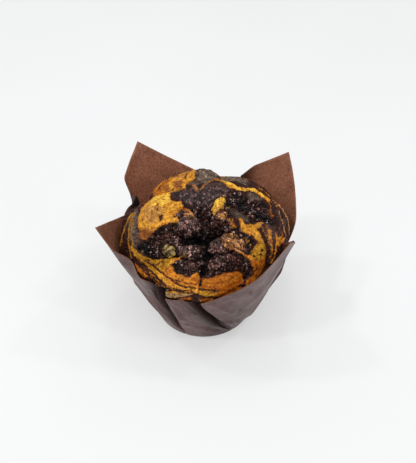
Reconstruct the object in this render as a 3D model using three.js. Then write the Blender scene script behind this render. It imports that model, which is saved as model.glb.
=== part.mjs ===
// A marbled muffin in a tulip-shaped paper case. Millimetres, +Z up, the origin at the centre of
// the flat base that the case stands on.
//
// The case is one square sheet pressed into a round mould: its four corners stand up as petals,
// and the spare width between them is folded into pleats. The muffin fills the case and rises
// out of it as a cracked, lobed crown.

import * as THREE from "three";
import { mergeVertices } from "three/addons/utils/BufferGeometryUtils.js";

// Paper case
const SHEET_SIDE = 150; // the square sheet before it is pressed
const BASE_RADIUS = 25;
const WALL_LEAN = THREE.MathUtils.degToRad(22); // from upright
const PAPER_THICKNESS = 0.65; // the folded layers together
const MIDDLE_PANEL_LENGTH = 50; // up the wall, where the sheet's side meets the rim
const TWIST_TOP = 50; // length up the wall above which the pleats stop slanting
const SLANT_BEND = 1.4; // 1 for straight pleats, more where they turn only near the base
const PLEAT_FADE = 9; // arc over which that edge falls back to the wall
const SLOT_DEPTH = 3; // how far the paper dives in behind a pleat's edge, at the rim
const SLOT_BASE_DEPTH = 0.04; // the share of the slot's depth left at the base
const SLOT_BASE_WIDTH = 0.3; // and of its width
const SLOT_DEEP_FROM = 22; // length up the wall from which a slot has its whole depth
const SLOT_WIDE_FROM = 14; // and its whole width

// Muffin
const MUFFIN_GAP = 0.35; // between the muffin's side and the paper
const CROWN_GAP = 0.75; // between the crown's edge and the paper
const RIM_CLEARANCE = 3; // the crown keeps inside the paper up to this far past the rim
const CROWN_RADIUS = 43;
const CROWN_LEVEL = 46; // height of the crown's widest line
const CROWN_RISE = 28; // from that line to the top
const LOBE_SAG = 3; // how far a lobe falls from its top to its edge
const LOBE_BLEND = 0.5; // softness of the creases between lobes
const CRACK_FLOOR = -8; // the level between lobes
const FRONT_FLOOR = -0.4; // that level at the front rim, where the crust meets the paper
const CRUMB_HEIGHT = 0.55; // coarse crumb in the open cracks
const CRUMB_SPREAD = 42; // degrees over which the cracked middle fades out

// Mesh density
const COLUMN_STEP = 4.2; // degrees of azimuth between columns inside a panel
const WALL_LEVELS = [0, 4, 9, 15, 22, 29, 36, 42]; // lengths up the wall
const RIM_SHARES = [0.25, 0.5, 0.75, 1]; // from the last of those up to the rim
const CROWN_STEPS = 26;
const EVEN_SLOPE = 50; // up to this slope from the top the crown's columns are evenly spaced
const PLEATED_SLOPE = 74; // and from here down they stand on the case's columns

const radians = THREE.MathUtils.degToRad;
const smooth = (low, high, value) => THREE.MathUtils.smoothstep(value, low, high);

// The panels of the case in order of azimuth, in degrees from +X. Each begins at the edge of a
// pleat, which is at "edge" on the rim and "edge + slant" at the base, and lies over the end of
// the panel before it, "proud" of the wall. A petal also has the azimuth of its tip. "tuck" is
// how far the panel's far end leans in over the crown, and "ease" is the arc over which it does.
const PANELS = [
  { edge: -19, slant: 2, tip: 38, tuck: 7, ease: 5, slot: 4.4, proud: 2 },
  { edge: 66, slant: 12, tip: null, tuck: 1, ease: 8, slot: 3.6, proud: 1.1 },
  { edge: 95, slant: 17, tip: 128.5, tuck: 6.5, ease: 9, slot: 4, proud: 1.1 },
  { edge: 157, slant: 14, tip: 206, tuck: 2, ease: 7, slot: 4.6, proud: 1.1 },
  { edge: 244, slant: 3.5, tip: null, tuck: 0.5, ease: 6, slot: 6.2, proud: 0.9 },
  { edge: 268.5, slant: 40, tip: 319, tuck: 2.5, ease: 9, slot: 4, proud: 1.1 },
];

// Places where the wall leans in, or bellies out where the amount is negative: azimuth, half
// width, amount, and the lengths up the wall between which it grows.
const LEANS = [
  { at: -12, half: 20, amount: 2.8, from: 36, to: 50 },
  { at: 224, half: 9, amount: 3.8, from: 50, to: 68 },
  { at: 322, half: 30, amount: -1.9, from: 0, to: 9 },
  { at: 322, half: 26, amount: 5.2, from: 14, to: 78 },
];

// The crown's lobes, placed by degrees of slope from the top: u to the right, v to the back.
// "along" and "across" are half sizes in the same degrees, "turn" rotates them, and "top" is
// the height over the crown's plain dome in millimetres.
const LOBES = [
  { u: -36, v: -8, along: 19, across: 19, turn: 0, top: 1 },
  { u: -24, v: 25, along: 16, across: 14, turn: 30, top: 0.8 },
  { u: -4, v: 7, along: 18, across: 11, turn: 15, top: 0 },
  { u: -1, v: 31, along: 12.5, across: 12, turn: -10, top: 2.3 },
  { u: 27, v: 20, along: 20, across: 8, turn: -5, top: 0.4 },
  { u: 38, v: -3, along: 20, across: 9, turn: -18, top: -2.2 },
  { u: 63, v: -4, along: 13, across: 28, turn: 0, top: 3.1 },
  { u: 41, v: -44, along: 14, across: 25, turn: 12, top: 0.8 },
  { u: 10, v: -7, along: 6, across: 10, turn: 12, top: 0.9 },
  { u: 27, v: -15, along: 12, across: 7, turn: -15, top: -0.9 },
  { u: -10, v: -20, along: 9, across: 9, turn: 0, top: -0.2 },
  { u: -32, v: -37, along: 21, across: 10, turn: 8, top: -0.9 },
  { u: -9, v: -43, along: 10, across: 8, turn: 0, top: -0.8 },
  { u: 13, v: -37, along: 13, across: 8, turn: 20, top: -0.3 },
  { u: -12, v: -57, along: 12, across: 7, turn: 0, top: -0.7 },
  { u: 18, v: -53, along: 20, across: 9, turn: 0, top: 0.1 },
  { u: -24, v: -74, along: 26, across: 21, turn: -18, top: 1 },
  { u: 14, v: -76, along: 22, across: 18, turn: 5, top: 1 },
  { u: -60, v: -30, along: 13, across: 30, turn: 0, top: 0.4 },
  { u: 45, v: 35, along: 30, across: 13, turn: -33, top: 1 },
  { u: -12, v: 60, along: 26, across: 20, turn: 0, top: 0.1 },
  { u: -60, v: 0, along: 14, across: 16, turn: 0, top: -0.6 },
  { u: -62, v: 30, along: 26, across: 24, turn: 0, top: -7 },
  { u: 16, v: 78, along: 30, across: 18, turn: 0, top: 0.2 },
];

// The open cracks, each a chain of points in the same degrees, with its half width and depth.
const CRACKS = [
  { half: 5, depth: 4.2, points: [[-13, -32], [-4, -33], [4, -30], [11, -26]] },
  { half: 4, depth: 3.4, points: [[2, -34], [2, -42], [5, -47], [0, -56], [-1, -63]] },
  { half: 3.6, depth: 2.4, points: [[-4, -4], [-1, -13], [-1, -22], [1, -30]] },
  { half: 3, depth: 1.6, points: [[-13, -9], [-6, -14], [-2, -20]] },
  { half: 5, depth: 2.2, points: [[20, 0], [33, -5], [46, -10], [56, -6]] },
  { half: 2.4, depth: 1.3, points: [[-1, -64], [-2, -72]] },
  { half: 3, depth: 1.4, points: [[-7, 20], [3, 22], [14, 27]] },
];

/** Length up the wall at which the sheet's edge lies, so far round from a petal's tip. */
function petalLength(offset) {
  const slantToTip = BASE_RADIUS / Math.sin(WALL_LEAN);
  const halfDiagonal = SHEET_SIDE / Math.SQRT2;
  const tipReach = halfDiagonal - BASE_RADIUS + slantToTip;
  const unrolled = Math.abs(radians(offset)) * Math.sin(WALL_LEAN);
  return tipReach / (Math.cos(unrolled) + Math.sin(unrolled)) - slantToTip;
}

/** The panel after this one, with its edge counted on past a full turn. */
function nextPanel(index) {
  const next = PANELS[(index + 1) % PANELS.length];
  const turn = index + 1 === PANELS.length ? 360 : 0;
  return { edge: next.edge + turn, slant: next.slant };
}

/** How much of a pleat's slant, 1 at the base and 0 from the twist's top upwards. */
const slantShare = (length) => (1 - Math.min(length / TWIST_TOP, 1)) ** SLANT_BEND;

/** How much of a pleat's depth is reached at a length up the wall. */
function depthShare(length) {
  return THREE.MathUtils.lerp(SLOT_BASE_DEPTH, 1, smooth(0, SLOT_DEEP_FROM, length));
}

/** A slot's angular width at a length up the wall, as a share of that on the rim. */
function widthShare(length) {
  const radiusAt = (reach) => BASE_RADIUS + reach * Math.sin(WALL_LEAN);
  const even = radiusAt(TWIST_TOP) / radiusAt(Math.min(length, TWIST_TOP));
  return even * THREE.MathUtils.lerp(SLOT_BASE_WIDTH, 1, smooth(0, SLOT_WIDE_FROM, length));
}

/** Even steps from one azimuth to another, the last one left out. */
function evenSteps(from, to) {
  const count = Math.max(1, Math.round((to - from) / COLUMN_STEP));
  return Array.from({ length: count }, (_, step) => from + ((to - from) * step) / count);
}

/** The columns of the case: each knows its panel and its place on the rim, in degrees. */
function makeColumns() {
  const columns = [];
  PANELS.forEach((panel, index) => {
    const end = nextPanel(index).edge - panel.slot;
    const firstStep = panel.edge + 1.6;
    const lastStep = end - 1.6;
    const places = [panel.edge];
    if (panel.tip === null) {
      places.push(...evenSteps(firstStep, lastStep));
    } else {
      places.push(...evenSteps(firstStep, panel.tip), ...evenSteps(panel.tip, lastStep));
    }
    places.push(lastStep, end);
    places.forEach((rim) => columns.push({ index, rim, inSlot: false }));
    columns.push({ index, rim: end + panel.slot * 0.55, inSlot: true });
  });
  return columns;
}

/** Azimuth of a column at a length up the wall: it slants with the pleats either side. */
function columnAzimuth(column, length) {
  const panel = PANELS[column.index];
  const next = nextPanel(column.index);
  const low = panel.edge + panel.slant * slantShare(length);
  const high = next.edge + next.slant * slantShare(length);
  const rimEnd = next.edge - panel.slot;
  const end = high - panel.slot * widthShare(length);
  if (column.rim <= rimEnd) {
    const share = (column.rim - panel.edge) / (rimEnd - panel.edge);
    return THREE.MathUtils.lerp(low, end, share);
  }
  const share = (column.rim - rimEnd) / panel.slot;
  return THREE.MathUtils.lerp(end, high, share);
}

/** How far a column stands out from the plain cone at a length up the wall. */
function columnOffset(column, length) {
  const panel = PANELS[column.index];
  const reach = depthShare(length);
  const radius = BASE_RADIUS + length * Math.sin(WALL_LEAN);
  if (column.inSlot) {
    return -SLOT_DEPTH * reach;
  }
  const rimEnd = nextPanel(column.index).edge - panel.slot;
  const fromEdge = radians(column.rim - panel.edge) * radius;
  const proud = panel.proud * reach * Math.exp(-fromEdge / PLEAT_FADE);
  const tucked = smooth(rimEnd - panel.ease, rimEnd, column.rim) * smooth(46, 62, length);
  let offset = proud - panel.tuck * tucked;
  for (const lean of LEANS) {
    const across = Math.abs(column.rim - lean.at) / lean.half;
    if (across < 1) {
      offset -= lean.amount * (1 - across * across) ** 2 * smooth(lean.from, lean.to, length);
    }
  }
  return offset;
}

/** Length up the wall at which a column meets the rim. */
function rimLength(column) {
  const panel = PANELS[column.index];
  if (panel.tip === null) {
    return MIDDLE_PANEL_LENGTH;
  }
  return petalLength(column.rim - panel.tip);
}

/** A point of the paper's outer face. */
function outerPoint(column, length) {
  const azimuth = radians(columnAzimuth(column, length));
  const radius = BASE_RADIUS + length * Math.sin(WALL_LEAN) + columnOffset(column, length);
  const height = length * Math.cos(WALL_LEAN);
  return new THREE.Vector3(radius * Math.cos(azimuth), radius * Math.sin(azimuth), height);
}

/** One closed ring of points moved inwards by a distance, in plan, with mitred corners. */
function insetRing(ring, distance) {
  return ring.map((point, index) => {
    const before = ring[(index + ring.length - 1) % ring.length];
    const after = ring[(index + 1) % ring.length];
    const arriving = new THREE.Vector2(point.x - before.x, point.y - before.y).normalize();
    const leaving = new THREE.Vector2(after.x - point.x, after.y - point.y).normalize();
    const inwards = new THREE.Vector2(-arriving.y - leaving.y, arriving.x + leaving.x);
    const miter = inwards.clone().normalize();
    const cosine = Math.max(0.55, miter.x * -arriving.y + miter.y * arriving.x);
    const reach = distance / cosine;
    return new THREE.Vector3(point.x + miter.x * reach, point.y + miter.y * reach, point.z);
  });
}

/** Lengths up the wall of one column, from the base to the rim. */
function paperLengths(column) {
  const last = WALL_LEVELS[WALL_LEVELS.length - 1];
  const rim = rimLength(column);
  return [...WALL_LEVELS, ...RIM_SHARES.map((share) => THREE.MathUtils.lerp(last, rim, share))];
}

/** The rings of the paper's outer face, from the base to the rim. */
function outerRings(columns) {
  const count = WALL_LEVELS.length + RIM_SHARES.length;
  return Array.from({ length: count }, (_, row) =>
    columns.map((column) => outerPoint(column, paperLengths(column)[row])),
  );
}

/** A closed solid through rings of points that run from one point on the axis to another. */
function ringSolid(start, rings, finish) {
  const rows = rings.length + 2;
  const segments = rings[0].length;
  const blank = Array.from({ length: rows }, (_, row) => new THREE.Vector2(1, row));
  const geometry = new THREE.LatheGeometry(blank, segments);
  const position = geometry.getAttribute("position");
  for (let segment = 0; segment <= segments; segment += 1) {
    const place = segment % segments;
    const points = [start, ...rings.map((ring) => ring[place]), finish];
    points.forEach((point, row) => {
      position.setXYZ(segment * rows + row, point.x, point.y, point.z);
    });
  }
  return weld(geometry);
}

/** Merges shared vertices and drops the triangles that close up at the axis. */
function weld(geometry) {
  geometry.deleteAttribute("normal");
  geometry.deleteAttribute("uv");
  const merged = mergeVertices(geometry, 1e-4);
  const corners = merged.getIndex().array;
  const kept = [];
  for (let first = 0; first < corners.length; first += 3) {
    const [a, b, c] = [corners[first], corners[first + 1], corners[first + 2]];
    if (a !== b && b !== c && c !== a) {
      kept.push(a, b, c);
    }
  }
  merged.setIndex(kept);
  merged.computeVertexNormals();
  return merged;
}

/** Distance from a place on the crown to a chain of points, in degrees of slope. */
function chainDistance(u, v, points) {
  let nearest = Infinity;
  const place = new THREE.Vector3(u, v, 0);
  const closest = new THREE.Vector3();
  for (let index = 1; index < points.length; index += 1) {
    const line = new THREE.Line3(
      new THREE.Vector3(...points[index - 1], 0),
      new THREE.Vector3(...points[index], 0),
    );
    line.closestPointToPoint(place, true, closest);
    nearest = Math.min(nearest, closest.distanceTo(place));
  }
  return nearest;
}

/** Height of one lobe's dome at a place on the crown. */
function lobeHeight(u, v, lobe) {
  const place = new THREE.Vector2(u - lobe.u, v - lobe.v);
  place.rotateAround(new THREE.Vector2(0, 0), -radians(lobe.turn));
  const spread = (place.x / lobe.along) ** 2 + (place.y / lobe.across) ** 2;
  return lobe.top - LOBE_SAG * spread;
}

/** Relief of the crown over its plain dome: lobes, the cracks between them, and coarse crumb. */
function crownRelief(u, v) {
  const front = smooth(62, 80, Math.hypot(u, v)) * (1 - smooth(-20, 0, v));
  const floor = THREE.MathUtils.lerp(CRACK_FLOOR, FRONT_FLOOR, front);
  let sum = Math.exp(floor / LOBE_BLEND);
  for (const lobe of LOBES) {
    sum += Math.exp(lobeHeight(u, v, lobe) / LOBE_BLEND);
  }
  let height = LOBE_BLEND * Math.log(sum);
  const depths = CRACKS.map((crack) => {
    const across = chainDistance(u, v, crack.points) / crack.half;
    return crack.depth * Math.exp(-across * across);
  });
  height -= Math.max(...depths);
  const middle = Math.exp(-(((u - 8) ** 2 + (v + 32) ** 2) / CRUMB_SPREAD ** 2));
  const crumb = Math.sin(u * 0.93 + 1.7 * Math.sin(v * 0.41)) * Math.sin(v * 0.88 + 0.6 * u * 0.31);
  return height + CRUMB_HEIGHT * middle * crumb;
}

/** Azimuth of a column on the crown: with the pleats at its edge, evenly spaced further up. */
function crownAzimuth(column, evenShare, slope) {
  const even = PANELS[0].edge + 360 * evenShare;
  const pleated = columnAzimuth(column, TWIST_TOP);
  return THREE.MathUtils.lerp(even, pleated, smooth(EVEN_SLOPE, PLEATED_SLOPE, slope));
}

/** A point of the crown's free surface, at a slope in degrees from the top. */
function crownPoint(column, evenShare, slope) {
  const azimuth = radians(crownAzimuth(column, evenShare, slope));
  const tilt = radians(slope);
  const edgeFade = 1 - smooth(94, 102, slope);
  const relief = crownRelief(slope * Math.cos(azimuth), slope * Math.sin(azimuth)) * edgeFade;
  const out = new THREE.Vector2(Math.sin(tilt) / CROWN_RADIUS, Math.cos(tilt) / CROWN_RISE);
  out.setLength(relief);
  const radius = CROWN_RADIUS * Math.sin(tilt) + out.x;
  const height = CROWN_LEVEL + CROWN_RISE * Math.cos(tilt) + out.y;
  return new THREE.Vector3(radius * Math.cos(azimuth), radius * Math.sin(azimuth), height);
}

/** One ring of the crown, held inside the paper where the paper stands beside it. */
function crownRing(columns, slope, side) {
  const free = columns.map((column, index) => crownPoint(column, index / columns.length, slope));
  const lengths = free.map((point) => point.z / Math.cos(WALL_LEAN));
  const paper = columns.map((column, index) => outerPoint(column, lengths[index]));
  const limits = insetRing(paper, side);
  const rims = columns.map(rimLength);
  return free.map((point, index) => {
    const limit = limits[index];
    const before = rims[(index + rims.length - 1) % rims.length];
    const after = rims[(index + 1) % rims.length];
    if (lengths[index] > Math.max(before, rims[index], after) + RIM_CLEARANCE) {
      return point;
    }
    const limitRadius = Math.hypot(limit.x, limit.y);
    const share = Math.min(1, Math.hypot(point.x, point.y) / limitRadius);
    return new THREE.Vector3(limit.x * share, limit.y * share, point.z);
  });
}

/** The paper case: a thin pleated cup with four petals. */
function makePaperCase(columns) {
  const outer = outerRings(columns);
  const inner = outer.map((ring) => insetRing(ring, PAPER_THICKNESS));
  inner[0].forEach((point) => point.setZ(PAPER_THICKNESS));
  const centre = new THREE.Vector3(0, 0, 0);
  const floor = new THREE.Vector3(0, 0, PAPER_THICKNESS);
  return ringSolid(centre, [...outer, ...inner.reverse()], floor);
}

/** The muffin: the shape of the case's inside below, and the lobed crown above. */
function makeMuffin(columns) {
  const side = PAPER_THICKNESS + MUFFIN_GAP;
  const wall = WALL_LEVELS.map((length) =>
    insetRing(columns.map((column) => outerPoint(column, length)), side),
  );
  wall[0].forEach((point) => point.setZ(side));
  const topLength = WALL_LEVELS[WALL_LEVELS.length - 1];
  const topHeight = topLength * Math.cos(WALL_LEAN);
  const startSlope = THREE.MathUtils.radToDeg(Math.acos((topHeight - CROWN_LEVEL) / CROWN_RISE));
  const crown = [];
  for (let step = 1; step < CROWN_STEPS; step += 1) {
    const slope = startSlope * (1 - step / CROWN_STEPS);
    crown.push(crownRing(columns, slope, PAPER_THICKNESS + CROWN_GAP));
  }
  const bottom = new THREE.Vector3(0, 0, side);
  const top = new THREE.Vector3(0, 0, CROWN_LEVEL + CROWN_RISE + crownRelief(0, 0));
  return ringSolid(bottom, [...wall, ...crown], top);
}

/** A named mesh with its finish. */
function piece(name, geometry, finish) {
  const mesh = new THREE.Mesh(geometry, new THREE.MeshStandardMaterial(finish));
  mesh.name = name;
  return mesh;
}

const columns = makeColumns();
const object = new THREE.Group();
object.add(
  piece("muffin", makeMuffin(columns), { color: 0xa86e22, roughness: 0.75, metalness: 0 }),
  piece("paper_case", makePaperCase(columns), { color: 0x6b4a42, roughness: 0.8, metalness: 0 }),
);

export default object;
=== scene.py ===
import logging
import math
from collections.abc import Sequence
from dataclasses import dataclass
from enum import Enum
from typing import Any

import bmesh
import bpy
import numpy as np
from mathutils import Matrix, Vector, noise


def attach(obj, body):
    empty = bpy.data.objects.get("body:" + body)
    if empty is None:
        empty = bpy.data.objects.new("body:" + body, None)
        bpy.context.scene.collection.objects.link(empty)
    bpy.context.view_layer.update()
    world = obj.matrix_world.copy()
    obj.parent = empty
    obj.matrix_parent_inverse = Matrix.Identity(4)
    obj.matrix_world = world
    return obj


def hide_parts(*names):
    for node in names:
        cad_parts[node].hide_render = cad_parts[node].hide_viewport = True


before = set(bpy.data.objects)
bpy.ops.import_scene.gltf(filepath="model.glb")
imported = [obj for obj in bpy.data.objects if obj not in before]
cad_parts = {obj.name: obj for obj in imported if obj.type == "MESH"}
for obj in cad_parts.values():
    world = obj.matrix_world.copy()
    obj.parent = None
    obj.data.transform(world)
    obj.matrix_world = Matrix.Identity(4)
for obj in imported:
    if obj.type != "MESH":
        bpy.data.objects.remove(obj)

# A marbled muffin in a tulip case folded from one square sheet of brown baking paper.
# Lengths are in millimetres and angles in degrees until a mesh is written, which is in metres.
# Places on the crown are (u, v): degrees of slope from its top, u to the right and v to the back.

LOG = logging.getLogger("muffin")
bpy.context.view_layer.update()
MM = 0.001
Point = tuple[float, float]
Colour = tuple[float, float, float, float]
Array = np.ndarray
Shape = bmesh.types.BMesh
Piece = bpy.types.Object
Material = bpy.types.Material
Node = bpy.types.Node
Socket = bpy.types.NodeSocket
Tree = bpy.types.NodeTree


def screen(red: int, green: int, blue: int) -> Colour:
    """A linear colour from 8-bit screen values.

    Args:
        red: the red value.
        green: the green value.
        blue: the blue value.

    Returns:
        The colour with an alpha of 1.
    """
    shares = (value / 255 for value in (red, green, blue))
    linear = (s / 12.92 if s <= 0.04045 else ((s + 0.055) / 1.055) ** 2.4 for s in shares)
    return (*linear, 1.0)


def rise(low: float, high: float, value: Array) -> Array:
    """0 below low and 1 above high, with a smooth rise between."""
    share = np.clip((value - low) / (high - low), 0.0, 1.0)
    return share * share * (3.0 - 2.0 * share)


def fall(low: float, high: float, value: Array) -> Array:
    """1 below low and 0 above high, with a smooth fall between."""
    return 1.0 - rise(low, high, value)


def blend(first: Array, second: Array, share: Array) -> Array:
    """The first value at share 0 and the second at share 1."""
    return first + (second - first) * share


def soft_noise(points: Array, size: float, seed: float = 0.0) -> Array:
    """Smooth noise between about -1 and 1, with lumps of a size in millimetres."""
    scaled = (points / size + seed).tolist()
    return np.fromiter((noise.noise(place) for place in scaled), float, len(scaled))


def cell_bumps(points: Array, size: float, seed: float) -> Array:
    """Rounded crumbs of a size, packed side by side: 1 on top of a crumb and 0 in the gaps."""
    near = [noise.voronoi(place)[0] for place in (points / size + seed).tolist()]
    return rise(0.0, 0.75, np.array([distances[1] - distances[0] for distances in near]))


def round_axis(places: Array) -> tuple[Array, Array]:
    """Azimuths in radians and distances from the upright axis."""
    return np.arctan2(places[:, 1], places[:, 0]), np.hypot(places[:, 0], places[:, 1])


def spun_blank(rows: int, columns: int) -> Shape:
    """A flat disc of rings one unit apart, closed at its middle, to be moved into shape.

    Args:
        rows: number of rings.
        columns: number of steps round.

    Returns:
        The disc as a bmesh.
    """
    blank = bmesh.new()
    spoke = [blank.verts.new((float(row), 0.0, 0.0)) for row in range(rows + 1)]
    edges = [blank.edges.new(pair) for pair in zip(spoke, spoke[1:])]
    turn = {"cent": (0, 0, 0), "axis": (0, 0, 1), "dvec": (0, 0, 0), "angle": math.tau, "use_merge": True}
    bmesh.ops.spin(blank, geom=spoke + edges, steps=columns, use_duplicate=False, **turn)
    bmesh.ops.remove_doubles(blank, verts=blank.verts, dist=1e-3)
    return blank


def places_of(source: Shape) -> Array:
    """The places of a bmesh's vertices, one row each."""
    return np.array([vertex.co[:] for vertex in source.verts])


def move_to(source: Shape, places: Array) -> None:
    """Moves each vertex of a bmesh to its row of places."""
    for vertex, place in zip(source.verts, places.tolist()):
        vertex.co = place


def store(source: Shape, name: str, values: Array) -> None:
    """Stores a value or a colour on each vertex of a bmesh.

    Args:
        source: the bmesh.
        name: the attribute's name.
        values: one value or one colour for each vertex.
    """
    layers = source.verts.layers
    layer = (layers.float if values.ndim == 1 else layers.float_color).new(name)
    for vertex, value in zip(source.verts, values.tolist()):
        vertex[layer] = value


def read(mesh: bpy.types.Mesh, name: str, width: int = 1) -> Array:
    """An attribute of a mesh's points.

    Args:
        mesh: the mesh.
        name: the attribute's name.
        width: 1 for a value and 4 for a colour.

    Returns:
        The values or the rows of colours.
    """
    values = np.zeros(len(mesh.vertices) * width, np.float32)
    mesh.attributes[name].data.foreach_get("value" if width == 1 else "color", values)
    return values if width == 1 else values.reshape(-1, width)


def surface_of(mesh: bpy.types.Mesh) -> tuple[Array, Array]:
    """The places of a mesh's vertices in millimetres, and their normals.

    Args:
        mesh: the mesh.

    Returns:
        Two arrays with a row for each vertex.
    """
    places, normals = np.zeros((2, len(mesh.vertices) * 3))
    mesh.vertices.foreach_get("co", places)
    mesh.vertices.foreach_get("normal", normals)
    return places.reshape(-1, 3) / MM, normals.reshape(-1, 3)


def finished(source: Shape, name: str, *materials: Material) -> Piece:
    """Turns a bmesh in millimetres into a smooth-shaded object in metres.

    Args:
        source: the bmesh, which is freed.
        name: the piece's name.
        materials: its finishes, in slot order.

    Returns:
        The new object, at the origin.
    """
    bmesh.ops.recalc_face_normals(source, faces=source.faces)
    bmesh.ops.scale(source, vec=(MM, MM, MM), verts=source.verts)
    for face in source.faces:
        face.smooth = True
    mesh = bpy.data.meshes.new(name)
    source.to_mesh(mesh)
    source.free()
    for material in materials:
        mesh.materials.append(material)
    piece = bpy.data.objects.new(name, mesh)
    bpy.context.scene.collection.objects.link(piece)
    return piece


@dataclass(frozen=True)
class Effects:
    """The shader groups that the finishes share."""

    speckle: Tree
    grain: Tree
    crumbs: Tree


class Nodes:
    """Adds nodes to one shader tree, over one place on the piece, and links them."""

    def __init__(self, tree: Tree) -> None:
        """Keeps the tree."""
        self.tree = tree
        self.place: Any = None

    def add(self, kind: str, inputs: dict[Any, Any] | None = None, **settings: Any) -> Node:
        """Adds one node.

        Args:
            kind: the node's type name without its ShaderNode.
            inputs: values or output sockets, by input name or number.
            settings: the node's own properties.

        Returns:
            The node.
        """
        node = self.tree.nodes.new("ShaderNode" + kind)
        for key, value in settings.items():
            setattr(node, key, value)
        for key, value in (inputs or {}).items():
            if isinstance(value, Socket):
                self.tree.links.new(value, node.inputs[key])
            else:
                node.inputs[key].default_value = value
        return node

    def sum(self, operation: str, *values: Any) -> Socket:
        """The result of a Math node."""
        return self.add("Math", dict(enumerate(values)), operation=operation).outputs[0]

    def mix(self, share: Any, first: Any, second: Any, kind: str = "MIX") -> Socket:
        """Two colours mixed by a share."""
        return self.add("Mix", {0: share, 6: first, 7: second}, data_type="RGBA", blend_type=kind).outputs[2]

    def between(self, share: Any, first: Any, second: Any) -> Socket:
        """Two values mixed by a share."""
        return self.add("Mix", {0: share, 2: first, 3: second}, data_type="FLOAT").outputs[0]

    def span(self, value: Any, low: float, high: float, start: Any = 0.0, end: Any = 1.0) -> Socket:
        """A value mapped smoothly from low..high to start..end."""
        inputs = {"Value": value, "From Min": low, "From Max": high, "To Min": start, "To Max": end}
        return self.add("MapRange", inputs, interpolation_type="SMOOTHSTEP").outputs["Result"]

    def noise(self, scale: Any, detail: float = 2.0, rough: float = 0.5, kind: str = "Fac") -> Socket:
        """Noise from 0 to 1 round 0.5."""
        inputs = {"Vector": self.place, "Scale": scale, "Detail": detail, "Roughness": rough}
        return self.add("TexNoise", inputs).outputs[kind]

    def crease(self, scale: float, level: float) -> Socket:
        """0 along thin wandering lines, and more beside them."""
        return self.sum("ABSOLUTE", self.sum("SUBTRACT", self.noise(scale, 4.0, 0.7), level))

    def cells(self, size: Socket, wobble: Socket, reach: float) -> Node:
        """Cells of a size, with a wobble of so many millimetres.

        Args:
            size: the cells' width.
            wobble: a noise colour.
            reach: how far it shifts places.

        Returns:
            The Voronoi node.
        """
        inputs = {0: wobble, 1: (reach, reach, reach), 2: self.place}
        shift = self.add("VectorMath", inputs, operation="MULTIPLY_ADD").outputs[0]
        return self.add("TexVoronoi", {"Vector": shift, "Scale": self.sum("DIVIDE", 1.0, size)})

    def attribute(self, name: str, kind: str = "Fac") -> Socket:
        """The mesh's own attribute of that name."""
        return self.add("Attribute", attribute_name=name).outputs[kind]

    def group(self, tree: Tree, *values: float) -> Socket:
        """The one output of a shared group, given its inputs in order."""
        return self.add("Group", dict(enumerate((self.place, *values))), node_tree=tree).outputs[0]

    def shaded(self, colour: Any, by: Any) -> Socket:
        """A colour multiplied by a grey value."""
        grey = self.add("CombineColor", {0: by, 1: by, 2: by}).outputs[0]
        return self.mix(1.0, colour, grey, "MULTIPLY")

    # Lays a tint over a colour: the finishes use it for their own tints, for painted shade and for painted
    # glints.
    def stain(self, share: Any, colour: Any, tint: Any, *factor: float) -> Socket:
        """A colour with a share of a tint times a factor for each channel over it."""
        return self.mix(share, colour, self.mix(1.0, tint, (*factor, 1.0), "MULTIPLY"))

    def bump(self, height: Socket, strength: float = 1.0) -> Socket:
        """A relief in millimetres as a normal."""
        return self.add("Bump", {"Strength": strength, "Distance": MM, "Height": height}).outputs[0]


class Finish(Nodes):
    """The nodes of one material with a Principled shader."""

    def __init__(self, name: str, effects: Effects) -> None:
        """Starts an empty material over the piece's own place in millimetres.

        Args:
            name: the material's name.
            effects: the shared shader groups.
        """
        self.material = bpy.data.materials.new(name)
        self.material.use_nodes = True
        self.material.node_tree.nodes.clear()
        super().__init__(self.material.node_tree)
        self.effects = effects
        place = self.add("TexCoord").outputs["Object"]
        self.place = self.add("VectorMath", {0: place, "Scale": 1 / MM}, operation="SCALE").outputs[0]

    def surfaced(self, **inputs: Any) -> Material:
        """Gives the shader its inputs and ends the material.

        Args:
            inputs: values or sockets, by input name with _ for a space.

        Returns:
            The material.
        """
        values = {key.replace("_", " "): value for key, value in inputs.items()}
        shader = self.add("BsdfPrincipled", values)
        self.add("OutputMaterial", {"Surface": shader.outputs[0]})
        return self.material


class Effect(Nodes):
    """The nodes of one shader group with a place, some values and one output."""

    def __init__(self, name: str, output: str, **inputs: float) -> None:
        """Starts the group.

        Args:
            name: the group's name.
            output: the name of the value it puts out.
            inputs: the defaults of its values, by name with _ for a space.
        """
        super().__init__(bpy.data.node_groups.new(name, "ShaderNodeTree"))
        sockets = self.tree.interface
        sockets.new_socket("Place", in_out="INPUT", socket_type="NodeSocketVector")
        for key, default in inputs.items():
            label = key.replace("_", " ")
            sockets.new_socket(label, in_out="INPUT", socket_type="NodeSocketFloat").default_value = default
        sockets.new_socket(output, in_out="OUTPUT", socket_type="NodeSocketFloat")
        given = self.tree.nodes.new("NodeGroupInput").outputs
        self.place, *self.given = (given[index] for index in range(len(inputs) + 1))

    def closed(self, value: Socket) -> Tree:
        """The group, once its output has its value."""
        self.tree.links.new(value, self.tree.nodes.new("NodeGroupOutput").inputs[0])
        return self.tree


def make_speckle() -> Tree:
    """A group for scattered spots: 1 inside a spot and 0 outside.

    Returns:
        The node group.
    """
    nodes = Effect("speckle", "Spots", Spot_pitch=1.5, Spot_width=0.3, Share=0.5)
    pitch, width, share = nodes.given
    cells = nodes.cells(pitch, nodes.noise(1.3, 1.0, kind="Color"), 0.5)
    spot = nodes.span(nodes.sum("DIVIDE", cells.outputs["Distance"], width), 0.6, 1.4, 1.0, 0.0)
    draw = nodes.add("SeparateColor", {0: cells.outputs["Color"]}).outputs[0]
    return nodes.closed(nodes.sum("MULTIPLY", spot, nodes.sum("LESS_THAN", draw, share)))


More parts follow.
